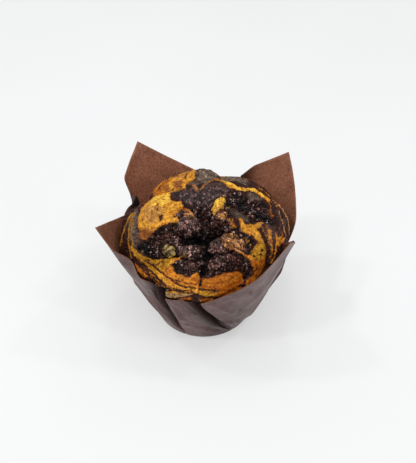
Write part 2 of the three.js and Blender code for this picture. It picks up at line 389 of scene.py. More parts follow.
def make_grain() -> Tree:
    """A group for fine relief, in millimetres, from two sizes of noise.

    Returns:
        The node group.
    """
    nodes = Effect("grain", "Height", Coarse_size=1.2, Coarse_height=0.1, Fine_size=0.4, Fine_height=0.04)
    coarse, coarse_height, fine, fine_height = nodes.given
    pairs = ((coarse, coarse_height), (fine, fine_height))
    parts = (nodes.sum("MULTIPLY", nodes.noise(nodes.sum("DIVIDE", 1.0, size)), high) for size, high in pairs)
    return nodes.closed(nodes.sum("ADD", *parts))


def make_crumbs() -> Tree:
    """A group for crumbs packed side by side: 1 on top of a crumb and 0 in the gaps.

    Returns:
        The node group.
    """
    nodes = Effect("crumbs", "Top", Size=1.2)
    cells = nodes.cells(nodes.given[0], nodes.noise(0.9, 3.0, kind="Color"), 1.1)
    return nodes.closed(nodes.span(cells.outputs["Distance"], 0.1, 0.72, 1.0, 0.0))


@dataclass(frozen=True)
class PaperFinish:
    """Brown greaseproof baking paper: thin, fibrous and slightly waxed."""

    name: str
    tint: Colour
    blotch: Colour
    roughness: float = 0.42
    fibre_height: float = 0.05
    specular: float = 0.24

    def make(self, effects: Effects) -> Material:
        """The paper as a material.

        Args:
            effects: the shared shader groups.

        Returns:
            The material.
        """
        nodes = Finish(self.name, effects)
        cloud = nodes.noise(0.11, 4.0, 0.6)
        colour = nodes.mix(nodes.span(cloud, 0.35, 0.65), self.tint, self.blotch)
        colour = nodes.shaded(colour, nodes.span(nodes.noise(1.0, 5.0, 0.85), 0.36, 0.64, 0.6, 1.42))
        spots = nodes.sum("MULTIPLY", nodes.group(effects.speckle, 1.1, 0.25, 0.3), 0.6)
        colour = nodes.stain(spots, colour, colour, 0.62, 0.58, 0.55)
        # The fold attribute is painted shade: the colour is darkened to about a twentieth in and beside the
        # pleats, on overlaid panel edges and low on one side.
        fold = nodes.attribute("fold")
        rough = nodes.span(cloud, 0.3, 0.7, self.roughness - 0.06, self.roughness + 0.08)
        height = nodes.group(effects.grain, 2.2, 2.0 * self.fibre_height, 0.35, self.fibre_height)
        return nodes.surfaced(
            Base_Color=nodes.stain(fold, colour, colour, 0.05, 0.04, 0.045),
            Roughness=nodes.sum("MAXIMUM", rough, fold),
            Normal=nodes.bump(height, 0.8),
            Specular_IOR_Level=self.specular,
        )


@dataclass(frozen=True)
class CrumbFinish:
    """Baked batter: golden crust and dark chocolate, matte where dry and glossy where torn open."""

    name: str = "marbled_crumb"
    dry_roughness: float = 0.62
    wet_roughness: float = 0.35
    dry_specular: float = 0.12
    coat_share: float = 0.12
    coat_roughness: float = 0.12
    coat_ior: float = 1.3
    crumb_sizes: tuple[float, float] = (1.7, 0.85)
    crumb_rises: tuple[float, float] = (0.55, 0.22)
    glint: Colour = screen(196, 158, 152)

    def make(self, effects: Effects) -> Material:
        """The batter as a material that follows the crown's painted attributes.

        Args:
            effects: the shared shader groups.

        Returns:
            The material.
        """
        nodes = Finish(self.name, effects)
        wet, depth, edge = (nodes.attribute(name) for name in ("wet", "deep", "edge"))
        ragged = nodes.sum("SUBTRACT", nodes.noise(0.8, 5.0, 0.75), 0.5)
        golden = nodes.span(nodes.sum("MULTIPLY_ADD", ragged, 4.5, edge), -0.22, 0.28)
        colour = nodes.mix(golden, self.dark_colour(nodes, wet), self.golden_colour(nodes, edge))
        # Painted shade: hollows of the open crumb are darkened.
        colour = nodes.stain(nodes.attribute("pit"), colour, colour, 0.16, 0.11, 0.1)
        sheen = nodes.noise(1.4, 3.0, 0.6)
        wet_rough = nodes.span(sheen, 0.3, 0.7, self.wet_roughness - 0.08, self.wet_roughness + 0.2)
        return nodes.surfaced(
            # Painted shadow: deep in the cracks the colour is darkened to under a tenth.
            Base_Color=nodes.stain(depth, colour, colour, 0.08, 0.06, 0.06),
            Roughness=nodes.between(wet, self.dry_roughness, wet_rough),
            Coat_Weight=nodes.sum("MULTIPLY", wet, nodes.span(depth, 0.0, 0.8, self.coat_share, 0.0)),
            Normal=self.relief(nodes, wet),
            Specular_IOR_Level=self.dry_specular,
            Coat_Roughness=self.coat_roughness,
            Coat_IOR=self.coat_ior,
        )

    def golden_colour(self, nodes: Finish, edge: Socket) -> Socket:
        """The crust's tint with mottling, pores and brown flecks, and painted glints.

        Args:
            nodes: the finish's nodes.
            edge: distance into the golden batter.

        Returns:
            The colour.
        """
        tint = nodes.attribute("gold_tint", "Color")
        speckle = nodes.effects.speckle
        mottle = nodes.noise(0.42, 4.0, 0.7)
        colour = nodes.stain(nodes.span(mottle, 0.38, 0.5, 1.0, 0.0), tint, tint, 0.6, 0.44, 0.32)
        colour = nodes.stain(nodes.span(mottle, 0.5, 0.62), colour, tint, 1.2, 1.3, 1.3)
        blotch = nodes.span(nodes.noise(0.22, 4.0, 0.7), 0.53, 0.66, 0.0, 0.6)
        colour = nodes.stain(blotch, colour, tint, 0.55, 0.5, 0.9)
        colour = nodes.shaded(colour, nodes.span(nodes.noise(1.1, 3.0, 0.8), 0.36, 0.64, 0.62, 1.42))
        crease = nodes.span(nodes.crease(0.5, 0.47), 0.0, 0.03, 0.42, 0.0)
        colour = nodes.stain(crease, colour, tint, 0.45, 0.3, 0.22)
        flecks = nodes.sum("MULTIPLY", nodes.group(speckle, 1.9, 0.3, 0.35), 0.7)
        colour = nodes.stain(flecks, colour, tint, 0.26, 0.17, 0.17)
        # Painted glints: pale specks on the crust.
        glints = nodes.sum("MULTIPLY", nodes.group(speckle, 1.25, 0.3, 0.25), 0.7)
        colour = nodes.stain(glints, colour, tint, 1.45, 1.65, 2.6)
        return nodes.stain(nodes.span(edge, 0.1, 1.1, 0.5, 0.0), colour, tint, 0.6, 0.38, 0.28)

    def dark_colour(self, nodes: Finish, wet: Socket) -> Socket:
        """The chocolate's tint, uneven, with painted shade and highlight on its crumbs and creases, and
        painted glints where it is torn open.

        Args:
            nodes: the finish's nodes.
            wet: where the crumb is torn open, from 0 to 1.

        Returns:
            The colour.
        """
        tint = nodes.attribute("dark_tint", "Color")
        speckle = nodes.effects.speckle
        uneven = nodes.noise(0.9, 5.0, 0.7)
        colour = nodes.stain(nodes.span(uneven, 0.34, 0.54, 1.0, 0.0), tint, tint, 0.35, 0.32, 0.32)
        colour = nodes.stain(nodes.span(uneven, 0.54, 0.74), colour, tint, 1.9, 1.85, 1.9)
        # Painted light: gaps between crumbs darker and their tops lighter, most where torn open.
        tops = nodes.sum("MULTIPLY", *self.crumb_tops(nodes))
        dry_shade, wet_shade = nodes.span(tops, 0.0, 0.7, 0.7, 1.2), nodes.span(tops, 0.0, 0.7, 0.1, 1.7)
        colour = nodes.shaded(colour, nodes.between(wet, dry_shade, wet_shade))
        clod = nodes.noise(0.38, 3.0, 0.6)
        colour = nodes.mix(wet, colour, nodes.shaded(colour, nodes.span(clod, 0.4, 0.6, 0.4, 1.6)))
        # Painted shade in the creases of the dry skin.
        crease = nodes.span(nodes.crease(0.55, 0.49), 0.0, 0.04, 0.8, 0.0)
        crease = nodes.sum("MULTIPLY", crease, nodes.span(wet, 0.0, 0.6, 1.0, 0.0))
        colour = nodes.stain(crease, colour, tint, 0.2, 0.18, 0.18)
        # Painted glints: pale specks on the skin.
        painted_skin_glints = nodes.group(speckle, 1.6, 0.34, 0.3)
        painted_skin_glints = nodes.sum("MULTIPLY", painted_skin_glints, nodes.span(wet, 0.0, 0.8, 0.4, 0.0))
        colour = nodes.stain(painted_skin_glints, colour, tint, 3.2, 3.4, 3.7)
        # Painted glints: pale rings where the crumb is torn open, in clusters.
        rings = (nodes.group(speckle, 2.2, width, 0.5) for width in (0.42, 0.26))
        ring = nodes.sum("MULTIPLY", nodes.sum("SUBTRACT", *rings), wet)
        return nodes.mix(nodes.sum("MULTIPLY", ring, nodes.span(clod, 0.46, 0.56)), colour, self.glint)

    def crumb_tops(self, nodes: Finish) -> list[Socket]:
        """Two sizes of packed crumbs, 1 on their tops and 0 in the gaps."""
        return [nodes.group(nodes.effects.crumbs, size) for size in self.crumb_sizes]

    def relief(self, nodes: Finish, wet: Socket) -> Socket:
        """Fine relief as a normal: packed crumbs where torn open, a wrinkled skin elsewhere.

        Args:
            nodes: the finish's nodes.
            wet: where the crumb is torn open, from 0 to 1.

        Returns:
            The normal.
        """
        grain = nodes.group(nodes.effects.grain, 1.1, 0.5, 0.42, 0.2)
        height = nodes.sum("MULTIPLY", grain, nodes.span(wet, 0.0, 1.0, 0.8, 1.3))
        for top, high in zip(self.crumb_tops(nodes), self.crumb_rises):
            amount = nodes.span(wet, 0.0, 1.0, 0.12 * high, high)
            height = nodes.sum("MULTIPLY_ADD", top, amount, height)
        return nodes.bump(height)


@dataclass(frozen=True)
class Panel:
    """One panel of the case, from the edge of a pleat to the next pleat.

    It begins at azimuth edge on the rim and edge + slant at the base. A petal has the azimuth
    of its tip. Its far end leans in by tuck over the arc ease, and a pleat of width slot
    parts it from the next panel. Its edge stands proud of the pleat before it, and the hidden
    fold behind its end stays lower than the rim by dip, or stands over it where dip is
    negative. Its own edge may be darkened as painted shade (overlay), and its corner may sink by drop.
    """

    edge: float
    slant: float
    tip: float | None
    tuck: float
    ease: float
    slot: float
    proud: float
    dip: float
    stain: float = 0.0
    drop: float = 0.0


@dataclass(frozen=True)
class Lean:
    """A place where a petal leans in: azimuth, half width, amount and where up the wall it grows."""

    at: float
    half: float
    amount: float
    start: float
    full: float


# A panel's overlay is painted shade on the first degrees of its edge, where that edge lies in a pleat's
# shadow.
PANELS = (
    Panel(-19, 2, 38, 7, 5, 4.4, 2.0, 5, stain=1.0),
    Panel(66, 12, None, 1, 8, 3.6, 1.1, 5),
    Panel(95, 17, 128.5, 6.5, 9, 4, 1.1, -2.5),
    Panel(157, 14, 206, 2, 7, 6.2, 1.1, 5, stain=0.5),
    Panel(246, 4.3, None, 0.5, 6, 6.2, 0.9, 5, drop=2.2),
    Panel(268.5, 40, 319, 2.5, 9, 3.2, 1.1, 5),
)

LEANS = (
    Lean(-12, 20, 2.8, 36, 50),
    Lean(224, 9, 3.8, 50, 68),
    Lean(322, 30, -1.9, 0, 9),
    Lean(322, 26, 5.2, 14, 78),
)

# Creases of the wall: azimuth and length up the wall at both ends, half width and height.
CREASES = (
    (248, 46, 254, 16, 0.8, 0.35), (252, 42, 268, 14, 0.7, -0.35), (251, 47, 262, 22, 1.2, 0.5),
    (256, 50, 264, 36, 1.0, -0.5), (250, 28, 276, 9, 1.3, 0.5), (258, 20, 285, 8, 1.2, -0.45),
    (275, 48, 292, 30, 1.4, 0.5), (284, 52, 300, 30, 1.2, -0.4), (300, 51, 303, 45, 0.8, 0.4),
    (288, 20, 310, 10, 1.5, 0.5), (238, 50, 243, 22, 1.2, 0.5), (233, 44, 241, 12, 1.3, -0.5),
    (228, 36, 240, 6, 1.3, 0.45), (214, 40, 228, 10, 1.5, 0.4), (240, 24, 246, 10, 0.8, -0.4),
    (20, 46, 38, 14, 1.4, 0.45), (48, 40, 58, 12, 1.2, -0.4), (112, 44, 128, 12, 1.4, 0.45),
    (140, 40, 150, 10, 1.2, -0.4), (176, 46, 188, 12, 1.3, 0.4),
)

# Steps of the hidden fold behind a pleat's edge: slot widths from the panel's end, share of the
# slot's depth, and how far the fold has come from this panel's form to the next one's.
FOLD = (
    (0.015, 0.15, 0.0), (0.03, 0.45, 0.0), (0.05, 0.8, 0.0), (0.1, 1.0, 0.0), (0.5, 1.0, 0.1),
    (0.85, 1.0, 0.2), (1.05, 0.97, 0.3), (1.12, 0.9, 0.35), (1.14, 0.8, 0.4), (1.12, 0.7, 0.45),
    (1.08, 0.55, 0.6), (1.03, 0.35, 0.8), (1.0, 0.18, 0.9), (0.98, 0.06, 0.98),
)


@dataclass
class PaperCase:
    """A pleated cup with four petals, pressed from one square sheet."""

    sheet_side: float = 150.0
    base_radius: float = 25.0
    wall_lean: float = 22.0
    thickness: float = 0.22
    middle_length: float = 50.0
    twist_top: float = 50.0
    pleat_fade: float = 9.0
    slot_depth: float = 4.6
    slant_bend: float = 1.4
    slot_base_share: float = 0.04
    tuck_start: float = 46.0
    tuck_full: float = 62.0
    base_rows: int = 5
    wall_rows: int = 28
    rim_rows: int = 16
    wall_top: float = 45.0
    column_step: float = 0.9
    ripple_height: float = 0.5
    crease_radius: float = 36.0
    crinkle_height: float = 0.42
    crease_gain: float = 2.1
    # Painted shade: darker towards a panel's end beside a pleat, and along an overlaid panel edge.
    shade_arc: float = 10.0
    shade_share: float = 0.92
    stain_arc: float = 1.1
    drop_arc: float = 5.0
    # Painted shade low on one side of the case.
    soak_at: float = 291.0
    soak_half: float = 26.0
    soak_top: float = 44.0
    soak_share: float = 0.45
    # The outside's tint is darker and greyer than the inside's, though it is the same paper: painted shade
    # and sheen.
    outer: PaperFinish = PaperFinish("paper_outside", screen(102, 75, 72), screen(90, 64, 61))
    inner: PaperFinish = PaperFinish("paper_inside", screen(140, 92, 70), screen(124, 78, 57), 0.6)

    def radius(self, length: Array) -> Array:
        """The plain cone's radius at a length up the wall."""
        return self.base_radius + length * math.sin(math.radians(self.wall_lean))

    def height(self, length: Array) -> Array:
        """The height over the base at a length up the wall."""
        return length * math.cos(math.radians(self.wall_lean))

    def petal_length(self, offset: Array) -> Array:
        """Length up the wall to the sheet's edge on a petal.

        Args:
            offset: degrees from the tip.

        Returns:
            The lengths.
        """
        lean = math.sin(math.radians(self.wall_lean))
        slant_to_tip = self.base_radius / lean
        tip_reach = self.sheet_side / math.sqrt(2) - self.base_radius + slant_to_tip
        unrolled = np.abs(np.radians(offset)) * lean
        return tip_reach / (np.cos(unrolled) + np.sin(unrolled)) - slant_to_tip

    def rim_length(self, index: int, rim: Array) -> Array:
        """Length up the wall at which a panel meets the rim.

        Args:
            index: the panel's number.
            rim: places across the panel, as azimuths on the rim.

        Returns:
            The lengths.
        """
        panel = PANELS[index]
        top = self.middle_length if panel.tip is None else self.petal_length(rim - panel.tip)
        return top - panel.drop * np.exp(-(rim - panel.edge) / self.drop_arc)

    def depth_share(self, length: Array) -> Array:
        """How much of a pleat's depth is reached at a length up the wall."""
        return blend(self.slot_base_share, 1.0, rise(0.0, 22.0, length))

    def limits(self, index: int, length: Array) -> tuple[Array, Array, Array]:
        """Where a panel lies at a length up the wall.

        Args:
            index: the panel's number.
            length: lengths up the wall.

        Returns:
            Azimuths of the panel's edge, of its end and of the next panel's edge.
        """
        panel = PANELS[index]
        following = PANELS[(index + 1) % len(PANELS)]
        turn = 360.0 if index + 1 == len(PANELS) else 0.0
        slant_share = (1.0 - np.minimum(length / self.twist_top, 1.0)) ** self.slant_bend
        high = following.edge + turn + following.slant * slant_share
        wider = self.radius(self.twist_top) / self.radius(np.minimum(length, self.twist_top))
        slot = panel.slot * wider * blend(0.3, 1.0, rise(0.0, 14.0, length))
        return panel.edge + panel.slant * slant_share, high - slot, high

    def rim_end(self, index: int) -> float:
        """Azimuth on the rim at which a panel ends."""
        return float(self.limits(index, np.array(self.twist_top))[1])

    def panel_offset(self, index: int, rim: Array, length: Array) -> Array:
        """How far a panel stands out from the plain cone.

        Args:
            index: the panel's number.
            rim: places across the panel, as azimuths on the rim.
            length: lengths up the wall.

        Returns:
            Offsets, outwards positive.
        """
        panel, end = PANELS[index], self.rim_end(index)
        from_edge = np.radians(rim - panel.edge) * self.radius(length)
        proud = panel.proud * self.depth_share(length) * np.exp(-from_edge / self.pleat_fade)
        tucked = rise(end - panel.ease, end, rim) * rise(self.tuck_start, self.tuck_full, length)
        offset = proud - panel.tuck * tucked
        for lean in LEANS:
            across = np.minimum(np.abs(rim - lean.at) / lean.half, 1.0)
            offset = offset - lean.amount * (1 - across**2) ** 2 * rise(lean.start, lean.full, length)
        return offset

    def columns(self) -> Array:
        """The upright lines of the case's mesh, in order.

        Returns:
            Rows of panel, place on the rim, depth in a fold, share of the next panel's form
            and painted shade.
        """
        parts = []
        for index, sheet in enumerate(PANELS):
            end = self.rim_end(index)
            stops = [sheet.edge, end] if sheet.tip is None else [sheet.edge, sheet.tip, end]
            for start, stop in zip(stops, stops[1:]):
                count = round((stop - start) / self.column_step)
                rim = np.linspace(start, stop, count + 1)[: count + int(stop == end)]
                # Painted shade: darker towards the panel's end beside a pleat, and along an overlaid edge.
                near = np.clip(1.0 - (end - rim) / self.shade_arc, 0.0, 1.0)
                soaked = np.clip(4.0 - (rim - sheet.edge) / self.stain_arc, 0.0, 1.0) * sheet.stain
                flat = np.zeros_like(rim)
                dark = np.maximum(near**1.6 * self.shade_share, soaked)
                parts.append(np.stack([flat + index, rim, flat, flat, dark]))
            across, depth, onward = np.array(FOLD).T
            # Inside a pleat's slot the painted shade follows the fold's depth.
            parts.append(np.stack([0.0 * depth + index, end + sheet.slot * across, depth, onward, depth]))
        return np.concatenate(parts, axis=1)

    def places(self, columns: Array, rows: Array) -> Array:
        """Places on the wall's outer face.

        Args:
            columns: the case's columns.
            rows: shares from 0 at the base to 1 at the top of the even wall, and on to 2 at the rim.

        Returns:
            An array of places by row, column and axis.
        """
        result = np.zeros((len(rows), columns.shape[1], 3))
        for index, sheet in enumerate(PANELS):
            chosen = columns[0] == index
            _, rim, depth, onward, _ = columns[:, chosen]
            end = self.rim_end(index)
            held = np.minimum(rim, end)
            following = (index + 1) % len(PANELS)
            next_edge = np.full_like(rim, PANELS[following].edge)
            top = blend(self.rim_length(index, held), self.rim_length(following, next_edge), onward)
            top = top - sheet.dip * depth
            for row, share in enumerate(rows):
                length = np.where(share <= 1, share * self.wall_top, blend(self.wall_top, top, share - 1))
                low, stop, high = self.limits(index, length)
                inside = low + (stop - low) * (rim - sheet.edge) / (end - sheet.edge)
                folded = stop + (high - stop) * (rim - end) / sheet.slot
                azimuth = np.radians(np.where(rim <= end, inside, folded))
                here = self.panel_offset(index, held, length)
                beyond = self.panel_offset(following, next_edge, length)
                offset = blend(here, beyond, onward) - depth * self.slot_depth * self.depth_share(length)
                radius = self.radius(length) + offset
                around = (radius * np.cos(azimuth), radius * np.sin(azimuth), self.height(length))
                result[row, chosen] = np.stack(around, axis=1)
        return result

    def inner_limit(self, azimuth: Array, height: Array) -> tuple[Array, Array]:
        """The paper's outer face as seen from the axis, with the hidden folds counted in.

        Args:
            azimuth: azimuths in radians.
            height: heights over the base.

        Returns:
            The radius of the innermost layer's outer face, and how far the place is past the rim.
        """
        length = np.maximum(height, 0.0) / self.height(1.0)
        offset, past = np.zeros((2, len(length)))
        for index, sheet in enumerate(PANELS):
            low, stop, high = self.limits(index, length)
            turned = (np.degrees(azimuth) - low) % 360.0
            inside = turned < high - low
            end = self.rim_end(index)
            rim = np.minimum(sheet.edge + turned / (stop - low) * (end - sheet.edge), end)
            free = self.panel_offset(index, rim, length)
            slot = high - stop
            dive = np.maximum(rise(-0.2, 0.1, (turned - (stop - low)) / slot), fall(0.15, 0.4, turned / slot))
            folded = blend(free, np.minimum(free, -self.slot_depth * self.depth_share(length)), dive)
            offset = np.where(inside, folded, offset)
            past = np.where(inside, length - self.rim_length(index, rim) + sheet.dip * dive, past)
        radius = self.radius(length) + offset
        places = np.stack([radius * np.cos(azimuth), radius * np.sin(azimuth), height], axis=1)
        return radius + self.ripple(places), past

    def soaked(self, places: Array) -> Array:
        """How dark the paper is painted low on one side, as shade.

        Args:
            places: places on the paper.

        Returns:
            Shares from 0 to 1.
        """
        azimuth = np.degrees(round_axis(places)[0]) % 360.0
        across = np.minimum(np.abs(azimuth - self.soak_at) / self.soak_half, 1.0)
        return self.soak_share * (1.0 - across**2) * fall(14.0, self.soak_top, places[:, 2])

    def ripple(self, places: Array) -> Array:
        """Outward waviness of the paper: broad on the petals, crinkled low on the wall.

        Args:
            places: places on the paper.

        Returns:
            Offsets, outwards positive.
        """
        height, around = places[:, 2], round_axis(places)[0]
        broad = soft_noise(places, 17.0, 3.1) * self.ripple_height * rise(15.0, 60.0, height)
        upright = (np.cos(around) * 30.0, np.sin(around) * 30.0, height * 0.25 + around * 4.0)
        crinkle = soft_noise(np.stack(upright, axis=1), 3.2, 8.4) * self.crinkle_height
        crinkle = crinkle * rise(2.0, 9.0, height) * (1.0 - 0.6 * rise(25.0, 45.0, height))
        length = height / self.height(1.0)
        across = around % math.tau * self.crease_radius
        reach = math.radians(1.0) * self.crease_radius
        for start, low, end, high, half, size in CREASES:
            away = distance_to(((start * reach, low), (end * reach, high)), across, length) / half
            crinkle = crinkle + self.crease_gain * size * np.exp(-away * away)
        return broad + crinkle

    def build(self, effects: Effects) -> Piece:
        """Makes the case's mesh and its two finishes.

        Args:
            effects: the shared shader groups.

        Returns:
            The case.
        """
        columns = self.columns()
        count = columns.shape[1]
        rows = (np.linspace(0.0, 1.0, self.wall_rows + 1), np.linspace(1.0, 2.0, self.rim_rows + 1)[1:])
        wall = self.places(columns, np.concatenate(rows))
        flat = wall.reshape(-1, 3)
        radius = round_axis(flat)[1]
        flat[:, :2] *= ((radius + self.ripple(flat)) / radius)[:, None]
        shares = np.linspace(0.0, 1.0, self.base_rows + 1)[:-1]
        rings = np.concatenate([wall[0][None] * shares[:, None, None], wall])
        blank = spun_blank(len(rings) - 1, count)
        angle, ring = round_axis(places_of(blank))
        column = np.rint(angle / math.tau * count).astype(int) % count
        placed = rings[np.rint(ring).astype(int), column]
        move_to(blank, placed)
        # Painted shade in and beside the pleats, fading towards the base, and low on one side.
        fold_shade = columns[4, column] * rise(4.0, 18.0, placed[:, 2])
        store(blank, "fold", np.maximum(fold_shade, self.soaked(placed)))
        piece = finished(blank, "tulip_case", self.outer.make(effects), self.inner.make(effects))
        shell = piece.modifiers.new("wall", "SOLIDIFY")
        shell.thickness = self.thickness * MM
        shell.offset = -1.0
        shell.material_offset = 1
        shell.material_offset_rim = 1
        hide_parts("paper_case")
        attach(piece, "root")
        return piece


class Tint(Enum):
    """Colours of the two batters as they are baked, and a black for painted shadow."""

    YELLOW = screen(222, 172, 60)
    GOLD = screen(202, 140, 44)
    AMBER = screen(194, 120, 32)
    BROWN = screen(164, 94, 20)
    OLIVE = screen(166, 118, 28)
    TAN = screen(160, 112, 70)
    WHEAT = screen(186, 133, 62)
    PEACH = screen(206, 150, 92)
    CREAM = screen(156, 124, 80)
    SKIN = screen(88, 65, 58)
    GREY = screen(122, 102, 88)
    STONE = screen(92, 74, 62)
    MAUVE = screen(112, 88, 84)
    ASH = screen(156, 138, 118)
    CRUMB = screen(67, 35, 28)
    # LUMP, PALE_LUMP and BALL are paler crumb: partly its own tone and partly painted highlight.
    LUMP = screen(104, 72, 64)
    PALE_LUMP = screen(146, 110, 99)
    BALL = screen(146, 108, 99)
    CARAMEL = screen(160, 86, 8)
    RED = screen(72, 40, 30)
    RUST = screen(136, 80, 36)
    # Painted shadow for cracks, holes, creases and gaps.
    BLACK = screen(20, 12, 11)

    @property
    def colour(self) -> Array:
        """The tint as an array."""
        return np.array(self.value)


def distance_to(points: Sequence[Point], u: Array, v: Array, closed: bool = False) -> Array:
    """Distance to a line in degrees, or the signed distance to an outline, negative inside.

    Args:
        points: the corners of the line or outline.
        u: places to the right.
        v: places to the back.
        closed: whether it is an outline.

    Returns:
        One distance for each place.
    """
    nearest = np.full_like(u, np.inf)
    inside = np.zeros(len(u), bool)
    for (u0, v0), (u1, v1) in zip(points, (*points[1:], *points[: int(closed)])):
        du, dv = u1 - u0, v1 - v0
        along = np.clip(((u - u0) * du + (v - v0) * dv) / (du * du + dv * dv), 0.0, 1.0)
        nearest = np.minimum(nearest, np.hypot(u - u0 - along * du, v - v0 - along * dv))
        if closed and dv != 0:
            inside ^= ((v0 <= v) != (v1 <= v)) & (u < u0 + (v - v0) * du / dv)
    return np.where(inside, -nearest, nearest)


@dataclass(frozen=True)
class Patch:
    """A field of one batter on the crown: a closed outline, or a line with a half width."""

    tint: Tint
    points: tuple[Point, ...]
    half: float = 0.0
    soft: float = 1.6
    golden: bool = True
    broken: bool = False

    def away(self, u: Array, v: Array) -> Array:
        """Signed distance to the patch in degrees, negative inside."""
        return distance_to(self.points, u, v, self.half == 0.0) - self.half


def area(tint: Tint, *points: Point, soft: float = 1.6, broken: bool = False) -> Patch:
    """A patch with an outline."""
    return Patch(tint, points, soft=soft, broken=broken)


def line(tint: Tint, half: float, *points: Point, soft: float = 1.6, broken: bool = False) -> Patch:
    """A golden line, or one within the chocolate."""
    return Patch(tint, points, half, soft, broken=broken)


def streak(half: float, *points: Point, tint: Tint = Tint.RED) -> Patch:
    """Chocolate over the golden batter: a line, or a closed outline where half is 0."""
    return Patch(tint, points, half, golden=False)


def spots(tint: Tint, *rounds: tuple[float, float, float]) -> list[Patch]:
    """Round spots of chocolate, each given by its half width, u and v."""
    return [streak(half, (u, v), (u + 0.01, v), tint=tint) for half, u, v in rounds]


# Outlines that are used twice: the crest at the top, a ledge and a knob on the right, the seam
# round the right side, and the gap under the front left.
CREST = (
    (-12.8, 10.1), (-6.8, 10.3), (1.1, 8.7), (7.6, 10.4), (16.3, 8.5), (14.7, 1.5), (8.2, 0.4), (4.9, -6.6),
    (1.1, -10.3), (-3.3, -9.4), (-8.5, -7.2), (-13.1, -2.9), (-17.9, 1.2),
)
LEDGE = (
    (13.3, -2.8), (16, -8), (20.7, -8.8), (25.6, -11.2), (31.5, -14.7), (31.6, -19), (26.4, -19.5),
    (24.2, -16.7), (20, -15.9), (16, -12.5), (14.5, -8),
)
KNOB = (
    (30.8, 10.8), (37.7, 13.8), (42.6, 10.5), (38.4, 4), (32.7, 4.4),
)
RIGHT_SEAM = (
    (54, 25.5), (58, 22.5), (60, 18), (60, 12), (61, 6), (64, 0.5), (66.5, -6.5),
)
# The gap is painted black as shadow.
FRONT_GAP = (
    (-43.5, -68.5), (-43, -75), (-41.2, -81.8), (-36, -86), (-29.2, -88.2), (-20.9, -89.6), (-12.8, -90),
)

